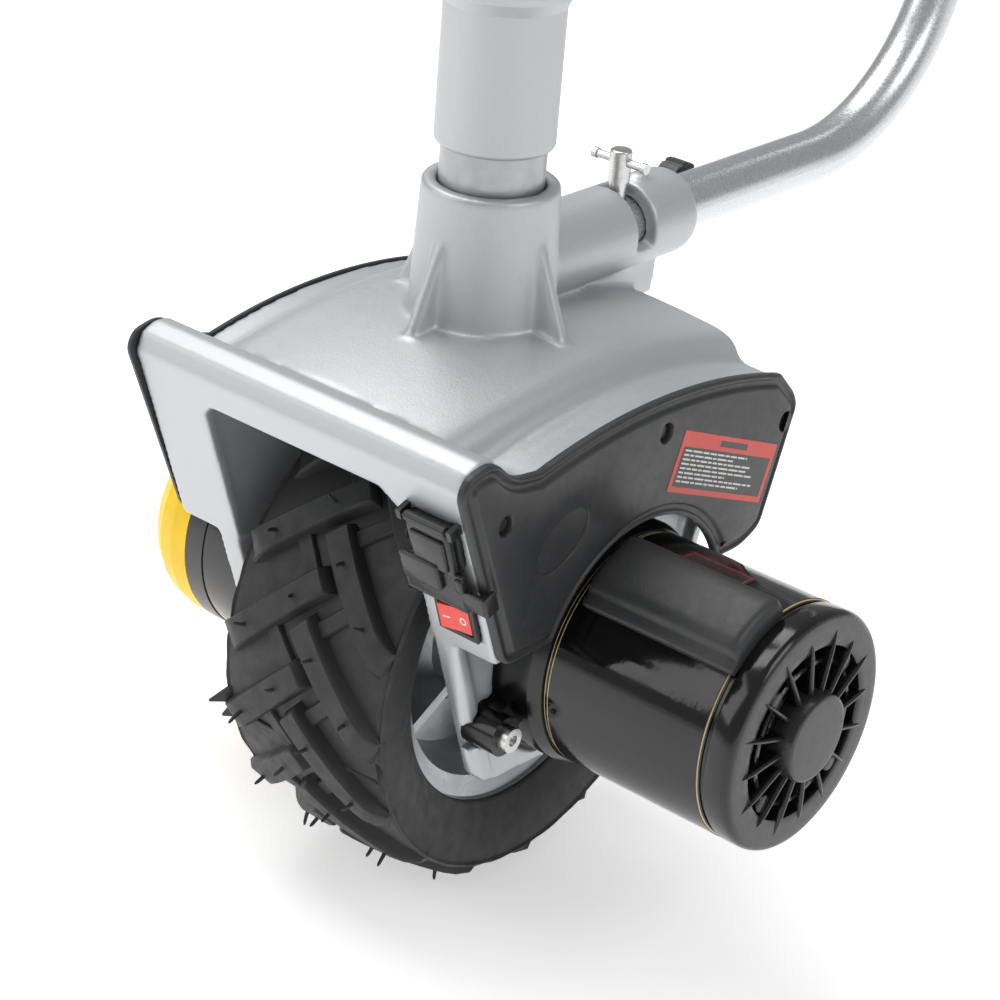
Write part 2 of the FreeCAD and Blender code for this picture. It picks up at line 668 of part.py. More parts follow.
def gear(teeth, module, width, spin, x, y, z, thin=0.22):
    face = gear_face(teeth, module, 0.85 * module, 1.1 * module, thin, spin, x, y, z)
    return face.extrude(V(width, 0, 0))


SUN_TEETH = 18
PLANET_TEETH = 15
RING_TEETH = 48
PLANET_MODULE = 2.0
PLANET_PATH_R = (SUN_TEETH + PLANET_TEETH) * PLANET_MODULE / 2
PINION_TEETH = 14
INPUT_TEETH = 36
GEAR_X = -103.0
GEAR_W = 16.0
PLANET_ANGLES = (90.0, 210.0, 330.0)


def partner_spin(angle, teeth_a, teeth_b):
    """Rest angle of gear b, at the given angle from gear a, that puts a space of b on a tooth of a."""
    phase = angle / (360.0 / teeth_a)
    return angle + 180.0 - (360.0 / teeth_b) * (0.5 - phase)


def sun_gear():
    return gear(SUN_TEETH, PLANET_MODULE, GEAR_W, 0.0, GEAR_X, AXLE_Y,
            AXLE_Z).cut(cyl(CROSS_R, 20.0, (GEAR_X - 1, AXLE_Y, AXLE_Z), (1, 0, 0)))


def planet_centre(angle):
    a = math.radians(angle)
    return AXLE_Y + PLANET_PATH_R * math.cos(a), AXLE_Z + PLANET_PATH_R * math.sin(a)


def planet(angle):
    y, z = planet_centre(angle)
    body = gear(PLANET_TEETH, PLANET_MODULE, GEAR_W, partner_spin(angle, SUN_TEETH, PLANET_TEETH),
            GEAR_X, y, z)
    return body.cut(cyl(5.0 + RUN, 20.0, (GEAR_X - 1, y, z), (1, 0, 0)))


def ring_gear():
    angle = PLANET_ANGLES[0]
    spin_planet = partner_spin(angle, SUN_TEETH, PLANET_TEETH)
    spin = angle - (360.0 / RING_TEETH) * ((angle - spin_planet) / (360.0 / PLANET_TEETH))
    m = PLANET_MODULE
    hole = gear_face(RING_TEETH, m, 1.1 * m, 0.85 * m, -0.22, spin, GEAR_X - 1, AXLE_Y,
            AXLE_Z).extrude(V(GEAR_W + 2, 0, 0))
    return cyl(57.0, GEAR_W, (GEAR_X, AXLE_Y, AXLE_Z), (1, 0, 0)).cut(hole)


def carrier():
    """Disc with the planet pins, and the sleeve that turns the wheel hub."""
    disc = cyl(46.0, 6.0, (-86.5, AXLE_Y, AXLE_Z), (1, 0, 0))
    sleeve = cyl(24.0, 55.0, (-81.0, AXLE_Y, AXLE_Z), (1, 0, 0))
    pins = []
    for angle in PLANET_ANGLES:
        y, z = planet_centre(angle)
        pins.append(cyl(5.0, 18.0, (-104.0, y, z), (1, 0, 0)))
    return fuse([disc, sleeve] + pins).cut(cyl(10.0, 80.0, (-90.0, AXLE_Y, AXLE_Z), (1, 0, 0)))


def gearbox_housing():
    outline = [(-75.0 + 1.0, 33.0), (-74.0, 72.0), (-82.0, 72.0), (-86.0, 69.0), (-135.0, 61.0),
            (-135.0, 20.0), (-112.0, 20.0), (-112.0, CROSS_R + RUN), (-107.0, CROSS_R + RUN),
               (-107.0, 20.0), (-107.0, 54.0), (-103.2, 54.0), (-103.2, 57.0), (-80.0,
                       57.0), (-80.0, 33.0)]
    return turned(outline, AXLE_Y, AXLE_Z)


def gearbox_ring():
    outline = [(-135.3, 61.5), (-147.7, 61.5), (-148.0, 60.0), (-148.0, 18.0 + RUN), (-135.3, 18.0 + RUN)]
    return turned(outline, AXLE_Y, AXLE_Z)


def clutch_knob():
    """Domed hollow clutch selector with a low grip bar across it."""
    outer = [(-160.0, 61.2), (-170.0, 59.0), (-179.0, 53.0), (-186.0, 43.0), (-190.5, 29.0),
            (-192.5, 14.0)]
    inner = [(-160.0, 57.2), (-168.0, 55.0), (-176.0, 49.0), (-182.0, 40.0), (-186.5, 27.0),
            (-187.5, 20.0)]
    dome = turned([(-148.3, 0.0), (-148.3, 61.5)] + outer + [(-193.0, 0.0)], AXLE_Y, AXLE_Z)
    room = turned([(-147.0, 20.0), (-147.0, 57.5)] + inner, AXLE_Y, AXLE_Z)
    stem = cyl(18.0, 12.3, (-148.3, AXLE_Y, AXLE_Z), (1, 0, 0))
    bar = box(-198.0, -180.0, AXLE_Y - 34.0, AXLE_Y + 34.0, AXLE_Z - 6.0, AXLE_Z + 6.0)
    bar = soft(bar, 2.5, lambda c, e: c.x < -197.0)
    return fuse([dome, stem, bar]).cut(room)


def cross_shaft():
    return cyl(CROSS_R, 111.0 + 94.0, (-111.0, AXLE_Y, AXLE_Z), (1, 0, 0))


def input_gear():
    face = gear(INPUT_TEETH, 1.0, 9.0, 0.0, 84.0, AXLE_Y, AXLE_Z, 0.12)
    return face.cut(cyl(CROSS_R, 20.0, (80.0, AXLE_Y, AXLE_Z), (1, 0, 0)))


def motor_pinion():
    body = gear(PINION_TEETH, 1.0, 9.0, partner_spin(90.0, INPUT_TEETH, PINION_TEETH), 84.0, AXLE_Y,
            MOTOR_Z, 0.12)
    return body.cut(cyl(5.0, 20.0, (80.0, AXLE_Y, MOTOR_Z), (1, 0, 0)))


# ----------------------------------------------------------------- wheel


def rim_outline():
    """Right half profile, then left half, of the rim and hub."""
    right_out = [(45.0, 26.0), (45.0, 36.0), (14.0, 40.0), (6.0, 46.0), (6.0, 70.0), (34.0, 78.0),
            (39.0, 88.0), (42.0, 88.0), (42.0, BEAD_R), (38.0, BEAD_R), (33.0, 83.0), (5.0, 76.0)]
    left_out = [(-x, r) for x, r in reversed(right_out[1:])]
    return right_out + left_out + [(-45.0, 24.0), (-26.0, 24.0), (-26.0, 10.0), (20.0, 10.0),
            (20.0, 26.0)]


def wheel_ribs():
    """Radial ribs on both faces of the rim's web."""
    ribs = []
    for side in (1, -1):
        for i in range(6):
            rib_shape = prism([(AXLE_Y - 3.0, AXLE_Z + 38.0), (AXLE_Y + 3.0, AXLE_Z + 38.0),
                    (AXLE_Y + 3.0, AXLE_Z + 74.0), (AXLE_Y - 3.0, AXLE_Z + 74.0)], 5.0, 24.0)
            rib_shape = rib_shape if side > 0 else mirrored(rib_shape)
            rib_shape.rotate(V(0, AXLE_Y, AXLE_Z), V(1, 0, 0), 60.0 * i)
            ribs.append(rib_shape)
    return ribs


def rim_node():
    return fuse([turned(rim_outline(), AXLE_Y, AXLE_Z)] + wheel_ribs())


def tyre_carcass():
    outer = [(-39.0, BEAD_R + 0.3), (-43.0, 100.0), (-50.0, 108.0), (-52.0, 116.0), (-46.0, 120.0),
            (-24.0, 122.5), (0.0, 123.2), (24.0, 122.5), (46.0, 120.0), (52.0, 116.0),
            (50.0, 108.0), (43.0, 100.0), (39.0, BEAD_R + 0.3)]
    inner = [(33.0, BEAD_R + 0.3), (33.0, 100.0), (40.0, 108.0), (38.0, 112.0), (0.0, 114.5),
            (-38.0, 112.0), (-40.0, 108.0), (-33.0, 100.0), (-33.0, BEAD_R + 0.3)]
    return turned(outer + inner, AXLE_Y, AXLE_Z)


def lug(side, turn):
    """One slanted bar of the tread, from the middle out to the shoulder."""
    length = 74.0
    bar = box(-length / 2, length / 2, -7.75, 7.75, AXLE_Z + 112.0, AXLE_Z + TYRE_R + 4.0)
    bar.rotate(V(0, 0, AXLE_Z), V(0, 0, 1), side * -44.0)
    bar.translate(V(side * 25.0, AXLE_Y, 0))
    bar.rotate(V(0, AXLE_Y, AXLE_Z), V(1, 0, 0), turn)
    return bar


def tyre():
    pitch = 360.0 / LUG_COUNT
    lugs = [lug(-1, LUG_TURN + pitch * i) for i in range(LUG_COUNT)]
    lugs += [lug(1, LUG_TURN + pitch * (i + 0.5)) for i in range(LUG_COUNT)]
    half = [(0.0, TYRE_R), (20.0, TYRE_R - 0.6), (49.0, 127.0), (53.0, 120.0), (53.0, 113.0)]
    crown = turned([(-x, r) for x, r in half[:0:-1]] + half, AXLE_Y, AXLE_Z)
    blocks = Part.makeCompound(lugs).common(crown)
    return fuse([tyre_carcass()] + blocks.Solids)


def wheel_bearing():
    return turned([(21.0, 17.0 + RUN), (43.0, 17.0 + RUN), (43.0, 26.0), (21.0, 26.0)], AXLE_Y, AXLE_Z)


def stub_axle():
    """Flanged tube on the right wall that the wheel turns on."""
    outline = [(22.0, 10.0), (22.0, 17.0), (60.0, 17.0), (60.0, 34.0), (67.0, 34.0), (67.0, 10.0)]
    return turned(outline, AXLE_Y, AXLE_Z)


def carrier_bearing():
    return turned([(-74.0, 24.0 + RUN), (-67.0, 24.0 + RUN), (-67.0, 32.0), (-74.0, 32.0)], AXLE_Y,
            AXLE_Z)


# ----------------------------------------------------------------- motor


EAR_ANGLES = (200.0, 345.0)


def ear_place(angle):
    a = math.radians(angle)
    return AXLE_Y + 80.0 * math.cos(a), MOTOR_Z + 80.0 * math.sin(a)


def motor_drive_end():
    """Black casting between the leg and the can; it holds the spur stage and has two bolt ears."""
    drum = turned([(74.3, 0.0), (74.3, 66.0), (98.0, 66.0), (105.0, 63.5), (105.0, 0.0)], AXLE_Y, MOTOR_Z)
    ears = []
    for angle in EAR_ANGLES:
        y, z = ear_place(angle)
        ears.append(cyl(10.5, 20.0, (74.3, y, z), (1, 0, 0)))
        inward_y, inward_z = AXLE_Y + (y - AXLE_Y) * 0.6, MOTOR_Z + (z - MOTOR_Z) * 0.6
        along = math.hypot(y - inward_y, z - inward_z)
        web = box(74.3, 88.0, 0.0, along, -9.0, 9.0)
        web.rotate(V(0, 0, 0), V(1, 0, 0), angle)
        web.translate(V(0, inward_y, inward_z))
        ears.append(web)
    body = fuse([drum] + ears)
    body = body.cut(cyl(48.0, 15.0, (81.0, AXLE_Y, MOTOR_Z), (1, 0, 0)))
    body = body.cut(cyl(CROSS_R + RUN, 12.0, (72.0, AXLE_Y, AXLE_Z), (1, 0, 0)))
    body = body.cut(cyl(15.0, 12.0, (94.0, AXLE_Y, MOTOR_Z), (1, 0, 0)))
    for angle in EAR_ANGLES:
        y, z = ear_place(angle)
        body = body.cut(cyl(4.2, 40.0, (70.0, y, z), (1, 0, 0)))
    return body


def ear_bolts():
    bolts = []
    for angle in EAR_ANGLES:
        y, z = ear_place(angle)
        head = cyl(6.5, 5.0, (94.4, y, z), (1, 0, 0)).cut(cyl(3.0, 4.0, (96.9, y, z), (1, 0, 0)))
        bolts.append(fuse([head, cyl(4.0, 24.0, (70.4, y, z), (1, 0, 0))]))
    return Part.makeCompound(bolts)


def motor_can():
    outline = [(105.0, 59.0), (105.0, MOTOR_R - 1.0), (107.0, MOTOR_R - 1.0), (108.0, MOTOR_R),
            (199.5, MOTOR_R), (200.5, MOTOR_R - 1.2), (201.0, MOTOR_R - 1.2), (201.0, 59.0)]
    return turned(outline, AXLE_Y, MOTOR_Z)


END_FACE_X = 218.0


def motor_end_cap():
    """Cast end cap: flat hub, radial ribs in a dished ring, rounded shoulder."""
    x = END_FACE_X
    outline = [(201.0, 20.0), (201.0, 61.0), (203.5, 61.0), (204.5, MOTOR_R), (x - 7, MOTOR_R),
            (x - 3, 61.5), (x - 0.8, 58.5), (x, 56.0),
               (x, 45.0), (x - 6, 43.0), (x - 6, 24.0), (x + 6.5, 22.8), (x + 7.5, 21.5), (x + 7.5,
                       0.0), (x - 2.0, 0.0), (x - 2.0, 13.0), (204.0, 13.0), (204.0, 20.0)]
    body = turned(outline, AXLE_Y, MOTOR_Z)
    ribs = []
    for i in range(16):
        length = 27.0 if i % 2 else 22.0
        web = box(x - 7.0, x + 1.5, -1.2, 1.2, 20.0, 20.0 + length)
        web.rotate(V(0, 0, 0), V(1, 0, 0), 22.5 * i)
        web.translate(V(0, AXLE_Y, MOTOR_Z))
        ribs.append(web)
    posts = []
    for i in range(4):
        a = math.radians(45 + 90 * i)
        posts.append(cyl(4.0, 7.0, (x - 6.5, AXLE_Y + 37.0 * math.cos(a),
                MOTOR_Z + 37.0 * math.sin(a)), (1, 0, 0)))
    return fuse([body] + ribs + posts)


def terminal_cover():
    """Moulded cover over the motor's cable posts, curved round the can."""
    shell = turned([(112.0, MOTOR_R + 0.3), (112.0, 71.0), (116.0, 74.5), (199.0, 74.5),
            (203.0, 71.0), (203.0, MOTOR_R + 0.3)], AXLE_Y, MOTOR_Z)
    wedge = Part.makePolygon([V(110, AXLE_Y, MOTOR_Z), V(110,
            AXLE_Y + 100 * math.cos(math.radians(99)), MOTOR_Z + 100 * math.sin(math.radians(99))),
                              V(110, AXLE_Y + 100 * math.cos(math.radians(137)),
                                      MOTOR_Z + 100 * math.sin(math.radians(137))), V(110, AXLE_Y,
                                      MOTOR_Z)])
    body = shell.common(Part.Face(wedge).extrude(V(100, 0, 0)))
    return body


def magnets():
    pieces = []
    for i in range(4):
        ring = turned([(115.0, 53.0), (190.0, 53.0), (190.0, 58.9), (115.0, 58.9)], AXLE_Y, MOTOR_Z)
        wedge = Part.makePolygon([V(110, AXLE_Y, MOTOR_Z), V(110, AXLE_Y + 100, MOTOR_Z - 70),
                V(110, AXLE_Y + 100, MOTOR_Z + 70), V(110, AXLE_Y, MOTOR_Z)])
        sector = Part.Face(wedge).extrude(V(100, 0, 0))
        sector.rotate(V(0, AXLE_Y, MOTOR_Z), V(1, 0, 0), 90.0 * i)
        pieces.append(ring.common(sector))
    return Part.makeCompound(pieces)


def armature():
    core = cyl(51.0, 62.0, (114.0, AXLE_Y, MOTOR_Z), (1, 0, 0)).cut(cyl(6.0, 70.0,
            (110.0, AXLE_Y, MOTOR_Z), (1, 0, 0)))
    for i in range(12):
        slot = box(112.0, 180.0, -1.5, 1.5, 30.0, 60.0)
        slot.rotate(V(0, 0, 0), V(1, 0, 0), 30.0 * i)
        slot.translate(V(0, AXLE_Y, MOTOR_Z))
        core = core.cut(slot)
    return core


def motor_shaft():
    return fuse([cyl(6.0, 121.0, (94.0, AXLE_Y, MOTOR_Z), (1, 0, 0)),
            cyl(5.0, 12.0, (83.0, AXLE_Y, MOTOR_Z), (1, 0, 0))])


def commutator():
    return tube(18.0, 6.0, 14.0, (179.0, AXLE_Y, MOTOR_Z), (1, 0, 0))


def brush_holder():
    plate = turned([(194.5, 22.0), (198.5, 22.0), (198.5, 58.9), (194.5, 58.9)], AXLE_Y, MOTOR_Z)
    brushes = []
    for i in range(4):
        brush = box(180.0, 195.0, -4.0, 4.0, 18.3, 34.0)
        brush.rotate(V(0, 0, 0), V(1, 0, 0), 45.0 + 90.0 * i)
        brush.translate(V(0, AXLE_Y, MOTOR_Z))
        brushes.append(brush)
    return fuse([plate] + brushes)


def motor_bearings():
    front = turned([(96.0, 6.0 + RUN), (104.0, 6.0 + RUN), (104.0, 15.0), (96.0, 15.0)], AXLE_Y, MOTOR_Z)
    rear = turned([(206.0, 6.0 + RUN), (214.0, 6.0 + RUN), (214.0, 13.0), (206.0, 13.0)], AXLE_Y, MOTOR_Z)
    return Part.makeCompound([front, rear])


BUILD = {
    "lower_sleeve": lower_sleeve,
    "tube_collar": tube_collar,
    "outer_tube": outer_tube,
    "top_cap": top_cap,
    "thrust_bearing": thrust_bearing,
    "spindle": spindle,
    "crank_arm": crank_arm,
    "crank_grip": crank_grip,
    "spindle_nut": spindle_nut,
    "inner_tube": inner_tube,
    "guide_rings": guide_ring,
    "swivel_plug": swivel_plug,
    "swivel_bearing": swivel_bearing,
    "swivel_nut": swivel_nut,
    "housing": housing,
    "inlet": inlet,
    "inlet_flap": inlet_flap,
    "flap_pin": flap_pin,
    "switch_bezel": switch_bezel,
    "rocker": rocker,
    "right_cover": right_cover,
    "left_cover": left_cover,
    "cover_screws": cover_posts,
    "relay_module": relay_module,
    "handle_tube": handle_tube,
    "handle_grip": handle_grip,
    "clamp_screw": clamp_screw,
    "tommy_bar": tommy_bar,
    "side_knob": side_knob,
    "sun_gear": sun_gear,
    "planet_1": lambda: planet(PLANET_ANGLES[0]),
    "planet_2": lambda: planet(PLANET_ANGLES[1]),
    "planet_3": lambda: planet(PLANET_ANGLES[2]),
    "ring_gear": ring_gear,
    "planet_carrier": carrier,
    "gearbox_housing": gearbox_housing,
    "gearbox_ring": gearbox_ring,
    "clutch_knob": clutch_knob,
    "cross_shaft": cross_shaft,
    "input_gear": input_gear,
    "motor_pinion": motor_pinion,
    "wheel_rim": rim_node,
    "tyre": tyre,
    "wheel_bearing": wheel_bearing,
    "carrier_bearing": carrier_bearing,
    "stub_axle": stub_axle,
    "motor_drive_end": motor_drive_end,
    "ear_bolts": ear_bolts,
    "motor_can": motor_can,
    "motor_end_cap": motor_end_cap,
    "terminal_cover": terminal_cover,
    "magnets": magnets,
    "armature": armature,
    "motor_shaft": motor_shaft,
    "commutator": commutator,
    "brush_holder": brush_holder,
    "motor_bearings": motor_bearings,
}

for name, make in BUILD.items():
    save(name, make())
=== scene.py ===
"""Looks of the motor-driven jockey wheel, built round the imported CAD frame.

Lengths in the tables below are in mm and are turned into metres by MM. X points out of the motor's side,
Y to the back and Z up. Each Blender piece rides on the CAD body that it belongs to.
"""

import bmesh
import bpy
import json
import math
import random
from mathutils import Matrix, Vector


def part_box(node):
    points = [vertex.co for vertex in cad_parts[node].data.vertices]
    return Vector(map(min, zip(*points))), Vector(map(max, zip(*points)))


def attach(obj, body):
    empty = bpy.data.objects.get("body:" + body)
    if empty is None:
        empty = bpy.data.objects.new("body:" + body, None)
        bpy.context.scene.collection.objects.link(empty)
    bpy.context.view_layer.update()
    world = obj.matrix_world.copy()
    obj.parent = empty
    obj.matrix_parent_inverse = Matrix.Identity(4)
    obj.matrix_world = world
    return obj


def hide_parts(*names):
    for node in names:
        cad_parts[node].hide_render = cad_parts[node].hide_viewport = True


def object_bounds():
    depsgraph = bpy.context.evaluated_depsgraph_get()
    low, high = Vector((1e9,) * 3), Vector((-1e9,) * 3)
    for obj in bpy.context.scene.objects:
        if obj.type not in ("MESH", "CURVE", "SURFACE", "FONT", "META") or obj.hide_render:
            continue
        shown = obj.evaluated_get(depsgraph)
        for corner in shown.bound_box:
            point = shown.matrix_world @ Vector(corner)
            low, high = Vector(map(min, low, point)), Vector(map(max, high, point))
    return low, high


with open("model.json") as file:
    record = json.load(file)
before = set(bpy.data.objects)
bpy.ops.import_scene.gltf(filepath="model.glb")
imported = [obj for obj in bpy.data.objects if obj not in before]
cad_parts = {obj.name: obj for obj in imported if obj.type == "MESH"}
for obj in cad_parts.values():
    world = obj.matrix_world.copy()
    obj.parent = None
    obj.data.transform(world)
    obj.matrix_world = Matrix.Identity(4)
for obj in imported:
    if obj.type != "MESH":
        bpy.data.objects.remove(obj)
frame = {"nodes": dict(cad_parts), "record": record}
CAD_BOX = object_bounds()
NODES = frame["nodes"]
MM = 0.001


# ------------------------------------------------------------- materials


class Surface:
    """A procedural material whose colour, roughness and relief come from noise in object space."""

    def __init__(self, name, color, rough, metal=0.0, coat=0.0, coat_rough=0.05, specular=0.5):
        self.m = bpy.data.materials.new(name)
        self.m.use_nodes = True
        self.t = self.m.node_tree
        self.b = self.t.nodes["Principled BSDF"]
        self.color = color
        self.rough = rough
        self.b.inputs["Base Color"].default_value = (*color, 1.0)
        self.b.inputs["Roughness"].default_value = rough
        self.b.inputs["Metallic"].default_value = metal
        self.b.inputs["Coat Weight"].default_value = coat
        self.b.inputs["Coat Roughness"].default_value = coat_rough
        self.b.inputs["Specular IOR Level"].default_value = specular
        self.place = self.t.nodes.new("ShaderNodeTexCoord").outputs["Object"]
        self.height = None

    def link(self, a, b):
        self.t.links.new(a, b)

    def math(self, kind, a, b=None):
        """A Math node; a and b are sockets or numbers."""
        n = self.t.nodes.new("ShaderNodeMath")
        n.operation = kind
        for socket, value in zip(n.inputs, (a, b)):
            if value is None:
                continue
            if isinstance(value, (int, float)):
                socket.default_value = value
            else:
                self.link(value, socket)
        return n.outputs[0]

    def axis(self, which):
        """One object coordinate, in metres."""
        n = self.t.nodes.new("ShaderNodeSeparateXYZ")
        self.link(self.place, n.inputs[0])
        return n.outputs["XYZ".index(which)]

    def noise(self, grain, detail, rough=0.5, stretch=None):
        """Noise from 0 to 1 whose features are about grain metres across."""
        n = self.t.nodes.new("ShaderNodeTexNoise")
        n.inputs["Scale"].default_value = 1.0 / grain
        n.inputs["Detail"].default_value = detail
        n.inputs["Roughness"].default_value = rough
        place = self.place
        if stretch:
            k = self.t.nodes.new("ShaderNodeMapping")
            k.inputs["Scale"].default_value = stretch
            self.link(place, k.inputs["Vector"])
            place = k.outputs[0]
        self.link(place, n.inputs["Vector"])
        return n.outputs["Fac"]

    def spread(self, value, out_lo, out_hi):
        """The middle of the noise, 0.3 to 0.7, spread smoothly over the given range."""
        n = self.t.nodes.new("ShaderNodeMapRange")
        n.interpolation_type = "SMOOTHSTEP"
        for k, v in (("From Min", 0.3), ("From Max", 0.7), ("To Min", out_lo), ("To Max", out_hi)):
            n.inputs[k].default_value = v
        self.link(value, n.inputs["Value"])
        return n.outputs[0]

    def mix(self, share, a, b):
        """Colour a where share is 0 and b where it is 1."""
        n = self.t.nodes.new("ShaderNodeMix")
        n.data_type = "RGBA"
        self.link(share, n.inputs[0])
        for socket, value in ((n.inputs[6], a), (n.inputs[7], b)):
            if isinstance(value, tuple):
                socket.default_value = (*value, 1.0)
            else:
                self.link(value, socket)
        return n.outputs[2]

    def tint(self, grain, amount, stretch=None):
        """Colour drifts by the given share over features of that size."""
        low = tuple(max(0.0, c * (1.0 - amount)) for c in self.color)
        high = tuple(min(1.0, c * (1.0 + amount)) for c in self.color)
        share = self.spread(self.noise(grain, 4.0, 0.6, stretch), 0.0, 1.0)
        self.paint(self.mix(share, low, high))
        return self

    def paint(self, color):
        self.link(color, self.b.inputs["Base Color"])

    def gloss(self, grain, amount):
        """Roughness drifts by the given amount over features of that size."""
        lo, hi = max(0.02, self.rough - amount), min(1.0, self.rough + amount)
        self.link(self.spread(self.noise(grain, 3.0, 0.6), lo, hi), self.b.inputs["Roughness"])
        return self

    def relief(self, value, depth):
        """Adds a bump of that depth in metres."""
        n = self.t.nodes.new("ShaderNodeBump")
        n.inputs["Strength"].default_value = 1.0
        n.inputs["Distance"].default_value = depth
        self.link(value, n.inputs["Height"])
        if self.height is not None:
            self.link(self.height, n.inputs["Normal"])
        self.height = n.outputs[0]
        self.link(self.height, self.b.inputs["Normal"])
        return self


# name: (colour, roughness, tint, gloss, reliefs, other shader settings). A tint or gloss is (grain, amount) and a
# relief is (grain, detail, roughness of the noise, depth), with grains and depths in metres.
PLAIN = {
    "cast_silver": ((0.55, 0.56, 0.575), 0.46, (0.0012, 0.02), (0.0012, 0.06),
                    ((0.0009, 3.0, 0.6, 0.00013), (0.004, 2.0, 0.5, 0.00004)),
                    {"metal": 0.62, "coat": 0.08, "coat_rough": 0.35}),
    "zinc_tube": ((0.66, 0.67, 0.685), 0.3, (0.002, 0.04), (0.0016, 0.06),
                  ((0.0014, 2.0, 0.55, 0.0001),), {"metal": 0.92}),
    "steel": ((0.62, 0.62, 0.61), 0.28, (0.008, 0.06), (0.004, 0.07),
              ((0.0008, 2.0, 0.5, 0.00004),), {"metal": 1.0}),
    "bronze": ((0.5, 0.33, 0.15), 0.35, (0.006, 0.1), (0.004, 0.08), (), {"metal": 1.0}),
    "white_nylon": ((0.78, 0.77, 0.73), 0.5, (0.01, 0.03), (0.006, 0.06), (), {}),
    "black_plastic": ((0.036, 0.037, 0.039), 0.42, (0.03, 0.08), (0.006, 0.05),
                      ((0.0008, 2.0, 0.5, 0.0001),), {}),
    "smooth_black_plastic": ((0.02, 0.021, 0.022), 0.3, (0.012, 0.15), (0.006, 0.05),
                             ((0.003, 2.0, 0.5, 0.00005),), {}),
    "red_plastic": ((0.86, 0.045, 0.025), 0.25, (0.006, 0.06), (0.004, 0.05), (),
                    {"coat": 0.3, "coat_rough": 0.1}),
    "green_board": ((0.02, 0.13, 0.05), 0.35, (0.004, 0.2), None, (), {}),
    "grip_rubber": ((0.02, 0.02, 0.02), 0.65, (0.01, 0.2), None, ((0.001, 2.0, 0.5, 0.0001),), {}),
    "grey_paint": ((0.03, 0.03, 0.032), 0.4, (0.01, 0.1), None,
                   ((0.0012, 2.0, 0.5, 0.0001),), {"coat": 0.3, "coat_rough": 0.2}),
    "yellow_plastic": ((0.95, 0.62, 0.002), 0.4, (0.02, 0.05), (0.01, 0.06),
                       ((0.0012, 2.0, 0.5, 0.00006),), {"coat": 0.05, "coat_rough": 0.2}),
    "cast_rim": ((0.52, 0.53, 0.54), 0.36, (0.02, 0.08), (0.01, 0.08),
                 ((0.0018, 2.0, 0.5, 0.00015),), {"metal": 0.8}),
    "tyre_rubber": ((0.033, 0.0335, 0.0355), 0.58, (0.03, 0.1), (0.008, 0.08),
                    ((0.0012, 3.0, 0.5, 0.00012),), {"specular": 0.45}),
    "magnet": ((0.08, 0.08, 0.085), 0.5, (0.01, 0.1), None, (), {"metal": 0.4}),
    "end_black": ((0.021, 0.022, 0.0235), 0.27, (0.012, 0.08), (0.006, 0.06),
                  ((0.0012, 2.0, 0.5, 0.00003),), {"specular": 0.5}),
}


def plain(key, name=None):
    """The material of one row of PLAIN, named after the row unless another name is given."""
    color, rough, tint, gloss, reliefs, more = PLAIN[key]
    s = Surface(name or key, color, rough, **more)
    s.tint(*tint)
    if gloss:
        s.gloss(*gloss)
    for grain, detail, soft, depth in reliefs:
        s.relief(s.noise(grain, detail, soft), depth)
    return s.m


def dark_steel():
    """Steel with streaks along the column."""
    s = Surface("dark_steel", (0.42, 0.43, 0.44), 0.36, metal=0.8)
    s.tint(0.02, 0.05, stretch=(1, 1, 0.3)).gloss(0.006, 0.06)
    s.relief(s.noise(0.001, 2.0, stretch=(1, 1, 0.2)), 0.00005)
    return s.m


def black_gloss(name, rough=0.13):
    """Gloss black paint, as a Surface that can take more colours."""
    s = Surface(name, (0.005, 0.005, 0.0055), rough, specular=0.55)
    s.gloss(0.02, 0.03)
    s.relief(s.noise(0.005, 2.0), 0.00005)
    return s


STRIPES = (106.0, 108.6, 200.0)
STRIPE_HALF_M = 0.00024


def can_paint():
    """Gloss black with thin gold lines round the can at the X positions of STRIPES."""
    s = black_gloss("black_paint", 0.11)
    x = s.axis("X")
    gold = None
    for at in STRIPES:
        near = s.math("LESS_THAN", s.math("ABSOLUTE", s.math("SUBTRACT", x, at * MM)), STRIPE_HALF_M)
        gold = near if gold is None else s.math("MAXIMUM", gold, near)
    gold_color = (0.62, 0.5, 0.24)
    s.paint(s.mix(gold, s.color, gold_color))
    return s.m


MATERIALS = {
    "cast_silver": plain("cast_silver"),
    "zinc_tube": plain("zinc_tube"),
    "dark_steel": dark_steel(),
    "steel": plain("steel", "bright_steel"),
    "bronze": plain("bronze"),
    "white_nylon": plain("white_nylon"),
    "black_plastic": plain("black_plastic"),
    "red_plastic": plain("red_plastic"),
    "green_board": plain("green_board"),
    "grip_rubber": plain("grip_rubber"),
    "black_cast": black_gloss("black_cast", 0.2).m,
    "black_paint": can_paint(),
    "grey_paint": plain("grey_paint"),
    "yellow_plastic": plain("yellow_plastic"),
    "cast_rim": plain("cast_rim"),
    "tyre_rubber": plain("tyre_rubber"),
    "magnet": plain("magnet"),
}
SMOOTH_BLACK = plain("smooth_black_plastic")


def dress(node, material):
    """Gives a CAD node one material."""
    mesh = NODES[node].data
    mesh.materials.clear()
    mesh.materials.append(material)


for part in frame["record"]["subparts"]:
    dress(part["node"], MATERIALS[part["material_slot"]])
dress("flap_pin", SMOOTH_BLACK)
dress("cover_screws", SMOOTH_BLACK)


